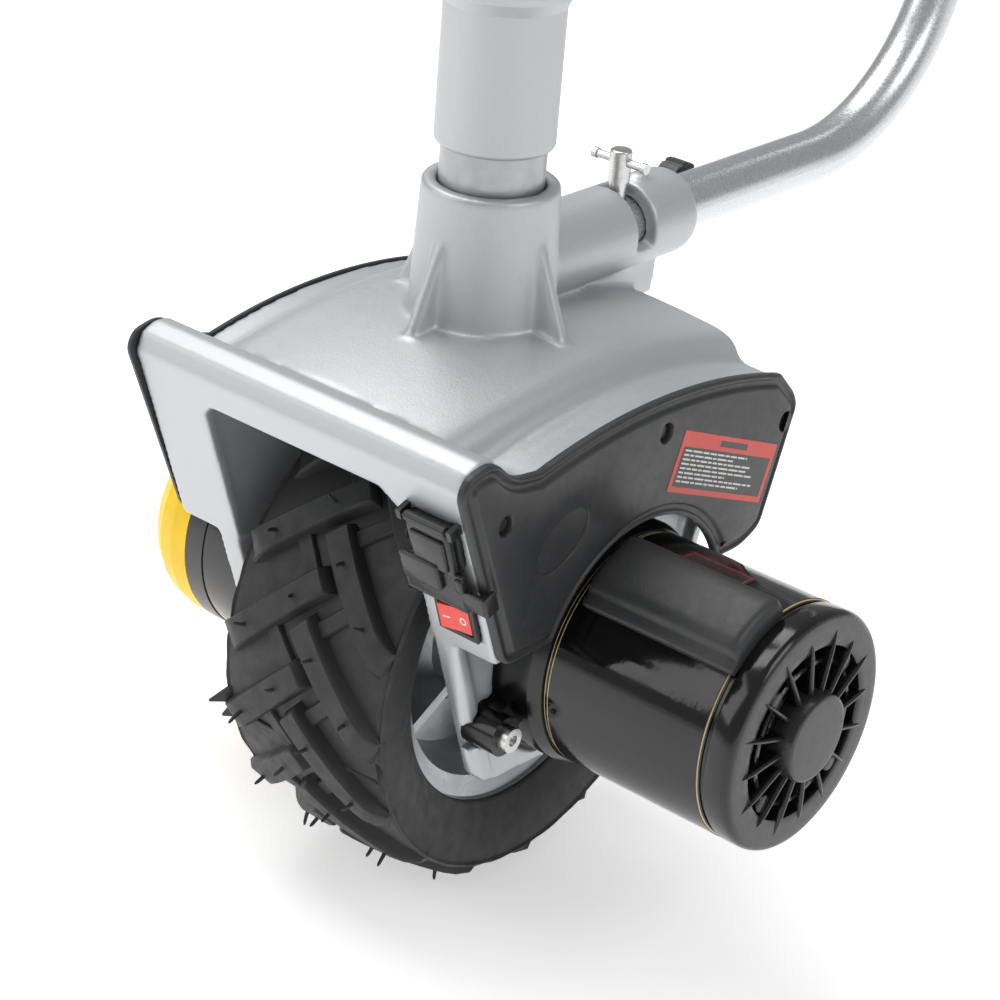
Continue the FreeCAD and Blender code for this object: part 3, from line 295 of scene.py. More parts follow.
def cast_copy(name, node, material, body, voxel, passes):
    """A casting's soft edges and fillets: a remeshed and relaxed copy that stands for the CAD node."""
    obj = bpy.data.objects.new(name, NODES[node].data.copy())
    bpy.context.scene.collection.objects.link(obj)
    remesh = obj.modifiers.new("remesh", "REMESH")
    remesh.mode = "VOXEL"
    remesh.voxel_size = voxel * MM
    relax = obj.modifiers.new("relax", "SMOOTH")
    relax.factor = 0.5
    relax.iterations = passes
    graph = bpy.context.evaluated_depsgraph_get()
    mesh = bpy.data.meshes.new_from_object(obj.evaluated_get(graph))
    obj.modifiers.clear()
    obj.data = mesh
    mesh.name = name
    mesh.materials.clear()
    mesh.materials.append(material)
    mesh.shade_smooth()
    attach(obj, body)
    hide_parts(node)


VOXEL, PASSES = 1.5, 9
cast_copy("housing_cast", "housing", MATERIALS["cast_silver"], "fork", VOXEL, PASSES)


# ---------------------------------------------------------------- pieces


def piece(name, bm, material, body, stands_for=(), sharp=35.0):
    """Makes a mesh object of bm that rides on a CAD body and stands for the given CAD nodes."""
    mesh = bpy.data.meshes.new(name)
    bmesh.ops.recalc_face_normals(bm, faces=bm.faces)
    bm.to_mesh(mesh)
    bm.free()
    mesh.materials.append(material)
    mesh.shade_smooth()
    mesh.set_sharp_from_angle(angle=math.radians(sharp))
    obj = bpy.data.objects.new(name, mesh)
    bpy.context.scene.collection.objects.link(obj)
    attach(obj, body)
    if stands_for:
        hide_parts(*stands_for)
    return obj


# ------------------------------------------------------------------ tyre

lo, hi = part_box("tyre")
AXLE = Vector((0.0, (lo.y + hi.y) / 2, (lo.z + hi.z) / 2))
TYRE_R = (hi.z - lo.z) / 2 / MM
TREAD_R = 123.1
LUG_COUNT = 16
LUG_TURN = 6.2
LUG_ANGLE = math.radians(44.0)
LUG_R = 124.0
LUG_MIDDLE = 25.0
# (x, r) of one half of the carcass, from the bead over the rim's lip and up the side to the middle of the tread
CARCASS = [
    (33.0, 92.3), (42.4, 92.2), (42.4, 89.2), (43.2, 88.4), (44.4, 89.2), (46.2, 92.4), (48.6, 97.0),
    (51.0, 102.5), (52.8, 108.5), (53.6, 114.0), (53.7, 118.2), (53.1, 120.4), (51.6, 121.4), (48.0, 121.9),
    (40.0, 122.3), (28.0, 122.7), (14.0, 123.0), (0.0, TREAD_R),
]


def wheel_point(x, r, turn):
    """A point on the wheel: x and r in mm, turn in degrees from the top towards the front."""
    a = math.radians(turn)
    return AXLE + Vector((x, -r * math.sin(a), r * math.cos(a))) * MM


def smooth_line(points, steps):
    """Catmull-Rom points through the given ones."""
    out = []
    for i in range(len(points) - 1):
        p = [Vector(points[max(0, min(len(points) - 1, i + k))]) for k in (-1, 0, 1, 2)]
        for j in range(steps):
            t = j / steps
            out.append(0.5 * (2 * p[1] + (p[2] - p[0]) * t + (2 * p[0] - 5 * p[1] + 4 * p[2] - p[3]) * t * t
                              + (3 * p[1] - p[0] - 3 * p[2] + p[3]) * t ** 3))
    out.append(Vector(points[-1]))
    return out


def join_rows(bm, rows, around=True, slot=0):
    """Faces between neighbouring closed rows of vertices, and from the last row to the first when around."""
    n = len(rows[0])
    for i in range(len(rows) if around else len(rows) - 1):
        a, b = rows[i], rows[(i + 1) % len(rows)]
        for j in range(n):
            bm.faces.new((a[j], a[(j + 1) % n], b[(j + 1) % n], b[j])).material_index = slot


def cap_both(bm, rows, slot=0):
    """Flat ends on the first and the last row."""
    bm.faces.new(rows[0]).material_index = slot
    bm.faces.new(list(reversed(rows[-1]))).material_index = slot


def ring_mesh(bm, profile, steps):
    """Turns a closed (x, r) profile into a ring about the axle."""
    rows = []
    for i in range(steps):
        rows.append([bm.verts.new(wheel_point(p[0], p[1], 360.0 * i / steps)) for p in profile])
    join_rows(bm, rows)


HALF = smooth_line(CARCASS[4:], 3)
SIDE = [Vector(p) for p in CARCASS[:4]] + HALF


class Skin:
    """The carcass's outer line as a curve measured from the middle of the tread outwards."""

    def __init__(self):
        self.p = list(reversed(HALF))
        self.s = [0.0]
        for a, b in zip(self.p, self.p[1:]):
            self.s.append(self.s[-1] + (b - a).length)

    def at(self, s):
        """(point, outward normal) at distance s; the other side of the tread has s below 0."""
        q = min(abs(s), self.s[-1] - 1e-6)
        i = max(k for k in range(len(self.s) - 1) if self.s[k] <= q)
        t = (q - self.s[i]) / (self.s[i + 1] - self.s[i])
        point = self.p[i].lerp(self.p[i + 1], t)
        run = (self.p[i + 1] - self.p[i]).normalized()
        normal = Vector((-run.y, run.x))
        if s < 0:
            point = Vector((-point.x, point.y))
            normal = Vector((-normal.x, normal.y))
        return point, normal


SKIN = Skin()


def skin_point(s, turn, lift):
    """A point at distance s from the tread's middle, lifted off the carcass by lift mm."""
    p, n = SKIN.at(s)
    return wheel_point(p.x + n.x * lift, p.y + n.y * lift, turn)


def bar(bm, path, widths, heights, taper):
    """A moulded bar along a path of (s, turn) on the tyre, with sloping flanks and rounded top edges."""
    rows = []
    last = len(path) - 1
    for i, (s, turn) in enumerate(path):
        a, b = path[max(0, i - 1)], path[min(last, i + 1)]
        r = SKIN.at(s)[0].y
        run = Vector((b[0] - a[0], math.radians(b[1] - a[1]) * r)).normalized()
        across = Vector((-run.y, run.x))
        w, h = widths[i], heights[i]
        section = [(-w - taper, -1.2), (-w - taper * 0.32, h * 0.6), (-w - 0.35, h - 0.8), (-w + 0.5, h)]
        section += [(-x, z) for x, z in reversed(section)]
        row = []
        for x, z in section:
            row.append(bm.verts.new(skin_point(s + across.x * x, turn + math.degrees(across.y * x / r), z)))
        rows.append(row)
    for a, b in zip(rows, rows[1:]):
        for j in range(len(a) - 1):
            bm.faces.new((a[j], a[j + 1], b[j + 1], b[j]))
    cap_both(bm, rows)


def slanted(turn, s):
    """The turn at distance s on a lug that has the given turn in its middle."""
    return turn + math.degrees(math.tan(LUG_ANGLE) * (s - LUG_MIDDLE) / LUG_R)


LUG_START, LUG_END, LUG_POINTS = -2.0, 52.4, 13
EDGE_S = 50.0


def lug_path(side, turn):
    """A lug's middle line as (s, turn), steeper past the tread's edge."""
    path = []
    for i in range(LUG_POINTS):
        s = LUG_START + (LUG_END - LUG_START) * i / (LUG_POINTS - 1)
        straight = min(s, EDGE_S) + 0.35 * max(0.0, s - EDGE_S)
        path.append((side * s, slanted(turn, straight)))
    return path


SHOULDER_S, SHOULDER_WIDTH = 38.0, 14.4


def lug(bm, side, turn):
    """A chevron lug: full height on the tread, run out over the shoulder, with a sloping inner end."""
    path = lug_path(side, turn)
    widths, heights = [], []
    top = TYRE_R - TREAD_R
    for s, _ in path:
        far = max(0.0, abs(s) - SHOULDER_S) / SHOULDER_WIDTH
        heights.append(top * (1.0 - 0.12 * (abs(s) / EDGE_S) ** 2) * (1.0 - 0.97 * min(1.0, far) ** 2.4))
        widths.append(6.3 + 1.0 * min(1.0, far))
    s0, t0 = path[0]
    path[:0] = [(s0 - side * 2.6, t0 - math.degrees(2.4 / LUG_R)), (s0 - side * 0.7, t0 - math.degrees(0.6 / LUG_R))]
    heights[:0] = [-1.2, top - 0.9]
    widths[:0] = [7.2, 6.2]
    bar(bm, path, widths, heights, 2.4)


def bridge(bm, side, turn, pitch, at):
    """Low block that ties one lug to the next."""
    a = slanted(turn, at)
    c, d = math.cos(LUG_ANGLE), math.sin(LUG_ANGLE)
    gap = math.radians(pitch) * LUG_R * c
    path = []
    for k in range(5):
        q = 4.0 + (gap - 8.0) * k / 4.0
        path.append((side * (at - q * d), a + math.degrees(q * c / LUG_R)))
    bar(bm, path, [4.0] * 5, [2.6] * 5, 1.2)


def pip(bm, rng, side, turn, s, length):
    """Vent nub left by the mould: a thin bent thread of rubber."""
    h = TYRE_R - TREAD_R - 1.2
    root = skin_point(side * s, turn, h - 0.5)
    up = (skin_point(side * s, turn, h + 5.0) - root).normalized()
    lean = Vector((rng.uniform(-1, 1), rng.uniform(-1, 1), rng.uniform(-1, 1)))
    lean -= lean.dot(up) * up
    lean.normalize()
    bend = rng.uniform(0.15, 0.8)
    rows = []
    steps = 7
    p = root.copy()
    for i in range(steps):
        t = i / (steps - 1)
        way = (up + lean * bend * t).normalized()
        if i:
            p = p + way * (length * MM / (steps - 1))
        r = (1.2 - 0.35 * t) * MM * (0.55 if i == steps - 1 else 1.0)
        u = way.cross(Vector((1, 0, 0))).normalized()
        v = way.cross(u).normalized()
        angles = [k * math.pi / 4 for k in range(8)]
        rows.append([bm.verts.new(p + (u * math.cos(a) + v * math.sin(a)) * r) for a in angles])
    join_rows(bm, rows, around=False)
    bm.faces.new(rows[-1])
    bm.faces.new(list(reversed(rows[0])))


def make_seam(bm, rng):
    """Ragged ridge on each shoulder, and the mould's parting line across the tread with its flash."""
    for side in (-1, 1):
        rows = []
        steps = 240
        for i in range(steps):
            turn = 360.0 * i / steps
            h = 0.9 + 0.35 * math.sin(i * 0.9) * rng.uniform(0.3, 1.0)
            ridge = ((52.2, 121.0), (53.1 + h * 0.6, 121.2 + h * 0.8), (53.9 + h, 120.4), (53.4, 119.0))
            rows.append([bm.verts.new(wheel_point(side * x, r, turn)) for x, r in ridge])
        join_rows(bm, rows)
    parting = 105.0
    bar(bm, [(s, parting) for s in range(-50, 51, 10)], [0.5] * 11, [1.3] * 11, 0.6)
    corners = ((50.0, -2.4), (50.0, 2.4), (53.8, 2.0), (53.8, -2.0))
    for side, reach in ((-1, 10.0), (1, 6.5)):
        for turn, far in ((101.5, reach), (106.5, reach * 0.6)):
            root = [skin_point(side * s, turn + d, 0.0) for s, d in corners]
            out = skin_point(side * 52.0, turn + 1.5, far) - skin_point(side * 52.0, turn, 0.0)
            way = out + Vector((side * far * 0.5 * MM, 0.0, 0.0))
            tip = [p.lerp(sum(root, Vector()) / 4, 0.86) + way for p in root]
            flash = [[bm.verts.new(p) for p in root], [bm.verts.new(p) for p in tip]]
            cap_both(bm, flash)
            join_rows(bm, flash, around=False)


def make_tyre():
    """Hollow carcass with lugs, low bridges between them, vent nubs and mould marks."""
    bm = bmesh.new()
    left = [Vector((-p.x, p.y)) for p in SIDE]
    inside = [(33.0, 100.0), (40.0, 108.0), (38.0, 112.0), (0.0, 114.5)]
    inside += [(-x, r) for x, r in reversed(inside[:-1])]
    outline = list(reversed(SIDE)) + inside + left[:-1]
    ring_mesh(bm, outline, 192)
    rng = random.Random(4)
    pitch = 360.0 / LUG_COUNT
    for i in range(LUG_COUNT):
        for side, shift in ((-1, 0.0), (1, 0.5)):
            turn = LUG_TURN + pitch * (i + shift)
            lug(bm, side, turn)
            bridge(bm, side, turn, pitch, 27.0)
            for s, long in ((11.0, 7.5), (36.0, 8.0)):
                a = slanted(turn, s)
                # at 180 degrees the tyre stands on the ground
                ground = abs(a % 360.0 - 180.0) < 14.0
                pip(bm, rng, side, a, s, 1.2 if ground else long * rng.uniform(0.9, 1.3))
    make_seam(bm, rng)
    piece("tyre_moulded", bm, MATERIALS["tyre_rubber"], "wheel", ("tyre",), 42.0)


make_tyre()


# ------------------------------------------------------------- side covers

cover_lo, cover_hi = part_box("right_cover")
can_lo, can_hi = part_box("motor_can")
AXLE_MM = AXLE / MM
MOTOR = Vector((0.0, AXLE.y / MM, (can_lo.z + can_hi.z) / 2 / MM))
CAN_R = (can_hi.z - can_lo.z) / 2 / MM
# RIM is the height of the column socket's rim, which the cover's heights are measured from
RIM = cover_hi.z / MM + 76.5
COVER_IN = cover_lo.x / MM
COVER_T = 5.4
SCREWS = ((-107.0, -112.0), (12.0, -101.0), (117.0, -126.0))
CREST_Y, CREST_R, CREST_DROP = 5.0, 370.0, 86.5
HEM_DROP = 190.8


def arc_points(cy, cz, r, a0, a1, n):
    """Points (y, z) on a circle, angles in degrees from +Y towards +Z."""
    out = []
    for i in range(n):
        a = math.radians(a0 + (a1 - a0) * i / (n - 1))
        out.append(Vector((cy + r * math.cos(a), cz + r * math.sin(a))))
    return out


CORNER_POINTS = 7


def rounded(points):
    """Closed outline of (y, z, radius) corners, each one rounded off by its radius."""
    out = []
    count = len(points)
    for i in range(count):
        p = Vector(points[i][:2])
        a = Vector(points[i - 1][:2]) - p
        b = Vector(points[(i + 1) % count][:2]) - p
        if points[i][2] == 0.0:
            out.append(p)
            continue
        cut = min(points[i][2], a.length * 0.48, b.length * 0.48)
        start, end = p + a.normalized() * cut, p + b.normalized() * cut
        for k in range(CORNER_POINTS):
            t = k / (CORNER_POINTS - 1)
            out.append(start * (1 - t) ** 2 + p * 2 * t * (1 - t) + end * t * t)
    return out


def inset(loop, d):
    """The closed loop moved inwards by d; the loop runs clockwise in (y, z)."""
    out = []
    n = len(loop)
    for i in range(n):
        a = (loop[i] - loop[i - 1]).normalized()
        b = (loop[(i + 1) % n] - loop[i]).normalized()
        na, nb = Vector((a.y, -a.x)), Vector((b.y, -b.x))
        m = na + nb
        m /= max(0.35, m.length_squared / 2.0)
        out.append(loop[i] + m * d)
    return out


def cover_outline(cut_z, cut_r, lift):
    """The cover's outline, clockwise: over the deck, down the back, round the drive and up the front."""
    crest = RIM - CREST_DROP - CREST_R
    deck = []
    for i in range(30):
        y = -82.0 + 193.0 * i / 29
        deck.append((y, crest + math.sqrt((CREST_R + lift) ** 2 - (y - CREST_Y) ** 2), 0.0))
    rise = RIM - HEM_DROP - cut_z
    half = math.sqrt(cut_r ** 2 - rise ** 2)
    a = math.degrees(math.atan2(rise, half))
    relief = [(p.x, p.y, 0.0) for p in arc_points(CREST_Y, cut_z, cut_r, a + 4.0, 176.0 - a, 26)]
    back = [(125.0, RIM - 112.0, 12.0), (129.0, RIM - 120.0, 6.0)]
    back += [(108.0, RIM - 184.0, 6.0), (92.0, RIM - 191.0, 7.0)]
    low = [(CREST_Y + half, RIM - HEM_DROP, 4.0)] + relief + [(CREST_Y - half, RIM - 190.6, 4.0)]
    front = [(-98.0, RIM - 190.5, 7.0), (-138.5, RIM - 89.0, 9.0), (-134.0, RIM - 80.5, 9.0)]
    front += [(-116.0, RIM - 76.5, 9.0), (-102.0, RIM - 90.5, 12.0)]
    return rounded(deck + back + low + front)


# (distance in from the outline, height) of the cover's edge: skirt, rolled rim, groove and step up to the face
COVER_RIM = (
    (0.0, 0.0), (0.0, 2.5), (0.3, 3.4), (0.9, 4.0), (1.7, 4.3), (2.4, 4.1), (2.9, 3.5), (3.4, 3.1),
    (4.4, 3.1), (5.6, 3.3), (6.1, 3.7), (6.6, 4.5), (7.2, 5.1), (8.2, COVER_T),
)
SCREW_HOLE = ((0.0, COVER_T), (0.5, COVER_T - 0.5), (0.8, COVER_T - 1.6), (0.9, 0.7))
BADGE_FIELD = ((0.0, COVER_T), (0.35, COVER_T - 0.25), (0.6, COVER_T - 0.9))
BADGE_Y, BADGE_DROP = -63.0, 134.5


def ring_edges(bm, ring):
    """The edges between neighbouring vertices of a closed row."""
    return [bm.edges.get((ring[i], ring[(i + 1) % len(ring)])) for i in range(len(ring))]


def make_cover(name, node, side, cut_z, cut_r, badge, lift, thick):
    """Moulded cover with a rolled rim, a groove inside it, sunk screw holes and a sunk blank badge field.

    The outline is relieved round a drive of radius cut_r at height cut_z; thick scales the height of the section.
    """
    loop = cover_outline(cut_z, cut_r, lift)
    bm = bmesh.new()

    def row(points, x):
        return [bm.verts.new((side * (COVER_IN + x * thick) * MM, p.x * MM, p.y * MM)) for p in points]

    rows = [row(inset(loop, d), x) for d, x in COVER_RIM]
    join_rows(bm, rows, around=False)
    edges = ring_edges(bm, rows[-1])
    holes = []
    for y, z in SCREWS:
        angles = [k * math.pi / 16 for k in range(32)]
        ring = [Vector((y + 5.3 * math.cos(a), RIM + z + 5.9 * math.sin(a))) for a in angles]
        holes.append((ring, SCREW_HOLE))
    if badge:
        ring = []
        for k in range(48):
            a = k * math.pi / 24
            u, v = 21.0 * math.cos(a), 12.5 * math.sin(a)
            ring.append(Vector((BADGE_Y + u * 0.86 - v * 0.5, RIM - BADGE_DROP + u * 0.5 + v * 0.86)))
        holes.append((ring, BADGE_FIELD))
    for ring, steps in holes:
        middle = sum(ring, Vector((0.0, 0.0))) / len(ring)
        levels = [row([p + (middle - p).normalized() * d for p in ring], x) for d, x in steps]
        join_rows(bm, levels, around=False)
        bm.faces.new(levels[-1])
        edges += ring_edges(bm, levels[0])
    bmesh.ops.triangle_fill(bm, use_beauty=True, use_dissolve=False, edges=edges)
    bmesh.ops.triangle_fill(bm, use_beauty=True, use_dissolve=False, edges=ring_edges(bm, rows[0]))
    piece(name, bm, COVER_BLACK, "fork", (node,), 40.0)


COVER_BLACK = plain("black_plastic", "cover_black")
make_cover("right_cover_moulded", "right_cover", 1.0, MOTOR.z, 73.0, True, 3.6, 1.0)
make_cover("left_cover_moulded", "left_cover", -1.0, AXLE_MM.z, 82.0, False, 0.8, 0.65)


def slab(bm, plane, u0, u1, v0, v1, n0, n1, slot):
    """A thin block on a plane of (origin, across, up, out), in mm, that uses the given material slot."""
    o, across, up, out = plane
    corners = ((u0, v0), (u1, v0), (u1, v1), (u0, v1))
    c = [[o + across * u + up * v + out * n for u, v in corners] for n in (n0, n1)]
    low, top = [[bm.verts.new(p * MM) for p in side] for side in c]
    faces = [bm.faces.new(top), bm.faces.new(list(reversed(low)))]
    for i in range(4):
        k = (i + 1) % 4
        faces.append(bm.faces.new((low[i], low[k], top[k], top[i])))
    for f in faces:
        f.material_index = slot


def flat_color(name, color, rough=0.4):
    """Nearly even colour for printed film."""
    s = Surface(name, color, rough)
    s.tint(0.01, 0.04).gloss(0.004, 0.04)
    return s.m


def make_sticker():
    """Plain notice sticker: a red frame and header with pale bars in place of words."""
    start = Vector((COVER_IN + COVER_T, 17.0, RIM - 134.0))
    across = Vector((0.0, 85.0, -34.0)).normalized()
    up = Vector((0.0, 11.0, 30.0)).normalized()
    at = (start, across, up, Vector((1.0, 0.0, 0.0)))
    rng = random.Random(11)
    bm = bmesh.new()
    slab(bm, at, 0.0, 91.0, 0.0, 32.0, 0.02, 0.16, 0)
    slab(bm, at, 3.0, 88.0, 3.0, 24.0, 0.16, 0.22, 1)
    slab(bm, at, 36.0, 62.0, 26.4, 29.6, 0.16, 0.22, 1)
    for i in range(8):
        v = 21.6 - 2.3 * i
        u = 5.0
        end = rng.uniform(48.0, 84.0)
        while u < end:
            w = rng.uniform(3.0, 9.0)
            slab(bm, at, u, min(u + w, end + 1.0), v, v + 0.95, 0.22, 0.27, 2)
            u += w + 1.1
    obj = piece("notice_sticker", bm, flat_color("sticker_red", (0.72, 0.07, 0.05)), "fork")
    obj.data.materials.append(flat_color("sticker_dark", (0.05, 0.05, 0.052)))
    obj.data.materials.append(flat_color("sticker_pale", (0.75, 0.75, 0.73)))


make_sticker()


# --------------------------------------------------- front of the right leg

# the leg's slanted front face: its top edge and its lean from the vertical
FRONT_Y, FRONT_Z = -134.6, RIM - 90.4
LEAN = math.atan2(35.7, 100.8)
PIN_Y, PIN_Z, PIN_X0, PIN_X1 = -5.6, -20.6, 74.0, 99.0


def front_point(x, y, z):
    """A point given against the slanted front face of the right leg, in mm."""
    c, s = math.cos(LEAN), math.sin(LEAN)
    return Vector((x, y * c - z * s + FRONT_Y, y * s + z * c + FRONT_Z)) * MM


def block(bm, x0, x1, y0, y1, z0, z1, r, place=front_point, cuts=2):
    """A block with edges rounded by r on the leg's front."""
    part = bmesh.new()
    bmesh.ops.create_cube(part, size=1.0)
    for v in part.verts:
        v.co = Vector((
            (x0 + x1) / 2 + v.co.x * (x1 - x0), (y0 + y1) / 2 + v.co.y * (y1 - y0), (z0 + z1) / 2 + v.co.z * (z1 - z0)
        ))
    bmesh.ops.bevel(part, geom=part.edges[:], offset=r, segments=cuts + 1, profile=0.5, affect="EDGES")
    index = {}
    for v in part.verts:
        index[v] = bm.verts.new(place(*v.co))
    for f in part.faces:
        bm.faces.new([index[v] for v in f.verts])
    part.free()


def turn_point(x, r, a, axis):
    """A point about an X-parallel axis; the angle runs from +Y towards +Z."""
    return Vector((x, axis.y + r * math.cos(a), axis.z + r * math.sin(a))) * MM


def turned_rows(bm, profile, steps, axis):
    """Turns an open (x, r) profile about an X-parallel axis."""
    rows = []
    for i in range(steps):
        a = 2 * math.pi * i / steps
        rows.append([bm.verts.new(turn_point(x, r, a, axis)) for x, r in profile])
    for i in range(steps):
        a, b = rows[i], rows[(i + 1) % steps]
        for j in range(len(profile) - 1):
            bm.faces.new((a[j], a[j + 1], b[j + 1], b[j]))
    return rows


def make_flap():
    """Dust cover of the battery inlet: a stepped lid, a wide plate and a hook round the cover's edge."""
    bm = bmesh.new()
    block(bm, 65.0, 103.0, -6.4, -3.4, -69.5, -46.5, 0.9)
    block(bm, 73.2, 99.4, -6.6, -2.6, -49.0, -23.6, 1.2)
    block(bm, 76.0, 96.6, -8.4, -5.8, -46.0, -27.0, 1.2)
    block(bm, 67.0, 91.0, -9.6, -5.8, -59.0, -43.0, 1.5)
    block(bm, 65.0, 67.6, -6.6, -2.4, -69.0, -48.0, 0.8)
    block(bm, 65.0, 103.2, -6.6, -2.4, -69.6, -66.8, 0.9)
    block(bm, 101.0, 115.8, -6.6, -3.8, -66.5, -55.0, 1.0)
    block(bm, 113.2, 116.0, -6.6, 2.0, -66.5, -55.0, 1.0)
    block(bm, 99.0, 103.6, -8.0, -3.6, -56.5, -48.0, 1.3)
    axis = front_point(0.0, PIN_Y, PIN_Z) / MM
    knuckle = [(PIN_X0, 1.6), (PIN_X0, 2.2), (PIN_X0 + 0.5, 2.7)]
    knuckle += [(PIN_X1 - 0.5, 2.7), (PIN_X1, 2.2), (PIN_X1, 1.6)]
    rows = turned_rows(bm, knuckle, 20, axis)
    for i in range(20):
        bm.faces.new((rows[i][-1], rows[i][0], rows[(i + 1) % 20][0], rows[(i + 1) % 20][-1]))
    block(bm, 74.5, 98.5, -7.2, -4.2, -25.5, -20.5, 0.8)
    piece("inlet_flap_moulded", bm, SMOOTH_BLACK, "inlet_flap", ("inlet_flap",), 40.0)


make_flap()


ROCKER_X, ROCKER_Z, ROCKER_HALF = 88.0, -83.5, 8.6


def make_marks():
    """A bar on the rocker's left half and a ring on its right half."""
    bm = bmesh.new()

    def on_rocker(x, lift, z):
        """A point lifted off the rocker's face, which falls away to both sides of its middle."""
        u = x - ROCKER_X
        face = -3.4 - 1.7 * max(0.0, -u) / ROCKER_HALF + 0.9 * max(0.0, u) / ROCKER_HALF
        return front_point(x, 1.5 + face - lift, z)

    block(bm, 81.4, 85.4, -0.02, 0.16, ROCKER_Z - 0.4, ROCKER_Z + 0.4, 0.03, on_rocker, 0)
    rows = []
    for k in range(28):
        a = 2 * math.pi * k / 28
        ring = []
        for r, h in ((1.35, -0.02), (1.4, 0.16), (2.1, 0.16), (2.15, -0.02)):
            ring.append(bm.verts.new(on_rocker(92.6 + r * 0.85 * math.cos(a), h, ROCKER_Z + r * 1.15 * math.sin(a))))
        rows.append(ring)
    join_rows(bm, rows)
    piece("rocker_marks", bm, flat_color("mark_white", (0.8, 0.8, 0.78)), "rocker")


make_marks()


# ------------------------------------------------------------------- motor


def cap_ends(bm, rows):
    """Flat ends on a turned shape, across the first and the last point of its profile."""
    bm.faces.new([r[0] for r in rows])
    bm.faces.new([r[-1] for r in reversed(rows)])


def make_end_cap():
    """Cast end cap: rounded shoulder, dished ring crossed by tapered fins, flat hub and four bosses."""
    hub = 7.5
    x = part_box("motor_end_cap")[1].x / MM - hub
    bm = bmesh.new()
    shoulder = [(201.0, 56.0), (201.0, 60.6), (201.4, 61.2), (203.2, 61.2), (203.6, 61.6), (203.8, 62.6)]
    shoulder += [(204.6, 63.0), (x - 4.6, 63.0), (x - 3.2, 62.8), (x - 1.9, 62.2), (x - 0.9, 61.3)]
    face = [(x - 0.25, 60.2), (x, 59.0), (x, 55.0), (x, 50.0), (x, 46.6), (x - 0.4, 45.8), (x - 1.4, 45.2)]
    dish = [(x - 6.0, 44.6), (x - 6.6, 43.8), (x - 6.6, 39.2), (x - 2.2, 38.8), (x - 1.6, 38.3), (x - 1.6, 36.5)]
    dish += [(x - 2.2, 36.0), (x - 6.8, 35.6), (x - 7.0, 25.0), (x - 6.4, 24.2)]
    middle = [(x + 5.6, 23.0), (x + 6.8, 22.6), (x + 7.4, 21.6), (x + hub, 20.4), (x + hub, 12.0), (x + hub, 0.6)]
    cap_ends(bm, turned_rows(bm, shoulder + face + dish + middle, 96, MOTOR))
    fins = 16
    for i in range(fins):
        a = 2 * math.pi * i / fins + 0.1
        far = 54.0 if i % 2 else 51.0
        # (radius, half width, height) along a fin
        stations = ((21.5, 1.3, 2.6), (30.0, 1.25, 2.2), (38.0, 1.2, 1.9))
        stations += ((44.0, 1.15, 1.7), (48.5, 0.75, 1.1), (far, 0.1, 0.1))
        rows = []
        for r, w, h in stations:
            base = -6.5 if r < 44.5 else -0.4
            line = []
            section = ((-w * 1.15, base), (-w, h * 0.35), (-w * 0.4, h), (w * 0.4, h), (w, h * 0.35), (w * 1.15, base))
            for u, v in section:
                p = turn_point(x + v, r, a, MOTOR)
                side = Vector((0.0, -math.sin(a), math.cos(a))) * (u * MM)
                line.append(bm.verts.new(p + side))
            rows.append(line)
        join_rows(bm, rows, around=False)
        cap_both(bm, rows)
    for i in range(4):
        a = math.pi / 4 + math.pi / 2 * i
        boss = Vector((0.0, MOTOR.y + 40.0 * math.cos(a), MOTOR.z + 40.0 * math.sin(a)))
        cap_ends(bm, turned_rows(bm, [(x - 6.8, 5.6), (x - 1.6, 5.2), (x - 0.8, 4.7), (x - 0.4, 4.0)], 24, boss))
    # satin on the face and the hub, gloss on the shoulder and in the dish
    for f in bm.faces:
        f.material_index = 0 if f.calc_center_median().x / MM > x - 0.8 else 1
    obj = piece("motor_end_cap_cast", bm, plain("end_black"), "fork", ("motor_end_cap",), 32.0)
    obj.data.materials.append(black_gloss("end_gloss").m)


make_end_cap()


def make_terminal_cover():
    """Cover over the motor's cable posts: a crowned box with a long flange at its lower edge."""
    lo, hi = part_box("terminal_cover")
    x0, x1 = lo.x / MM, hi.x / MM
    # (angle, height over the can) round the can, and (distance in, share of the height) at both ends
    across = ((98.6, 0.0), (98.9, 5.0), (99.5, 8.2), (101.0, 10.2), (104.0, 11.0), (109.0, 11.2), (114.0, 11.3),
              (119.0, 11.2), (124.0, 11.0), (127.5, 10.5), (129.4, 9.4), (130.5, 7.8), (131.2, 6.4),
              (132.0, 5.8), (134.0, 5.6), (136.0, 5.2), (136.9, 4.0), (137.2, 2.0), (137.3, 0.0))
    along = [(0.0, 0.0), (0.15, 0.35), (0.7, 0.62), (1.8, 0.82), (3.4, 0.94), (5.5, 0.99), (9.0, 1.0)]
    centre = 118.0
    length = x1 - x0
    line = along + [(length * t, 1.0) for t in (0.25, 0.4, 0.55, 0.7)]
    line += [(length - d, h) for d, h in reversed(along)]
    bm = bmesh.new()
    r = CAN_R + 0.25
    rows = []
    for d, end in line:
        row = []
        for angle, h in across:
            a = math.radians(centre + (angle - centre) * (0.955 + 0.045 * end))
            row.append(bm.verts.new(turn_point(x0 + d, r + h * end, a, MOTOR)))
        rows.append(row)
    join_rows(bm, rows, around=False)
    cap_both(bm, rows)
    bmesh.ops.remove_doubles(bm, verts=bm.verts[:], dist=1e-6)
    piece("terminal_cover_moulded", bm, COVER_BLACK, "fork", ("terminal_cover",), 50.0)


make_terminal_cover()


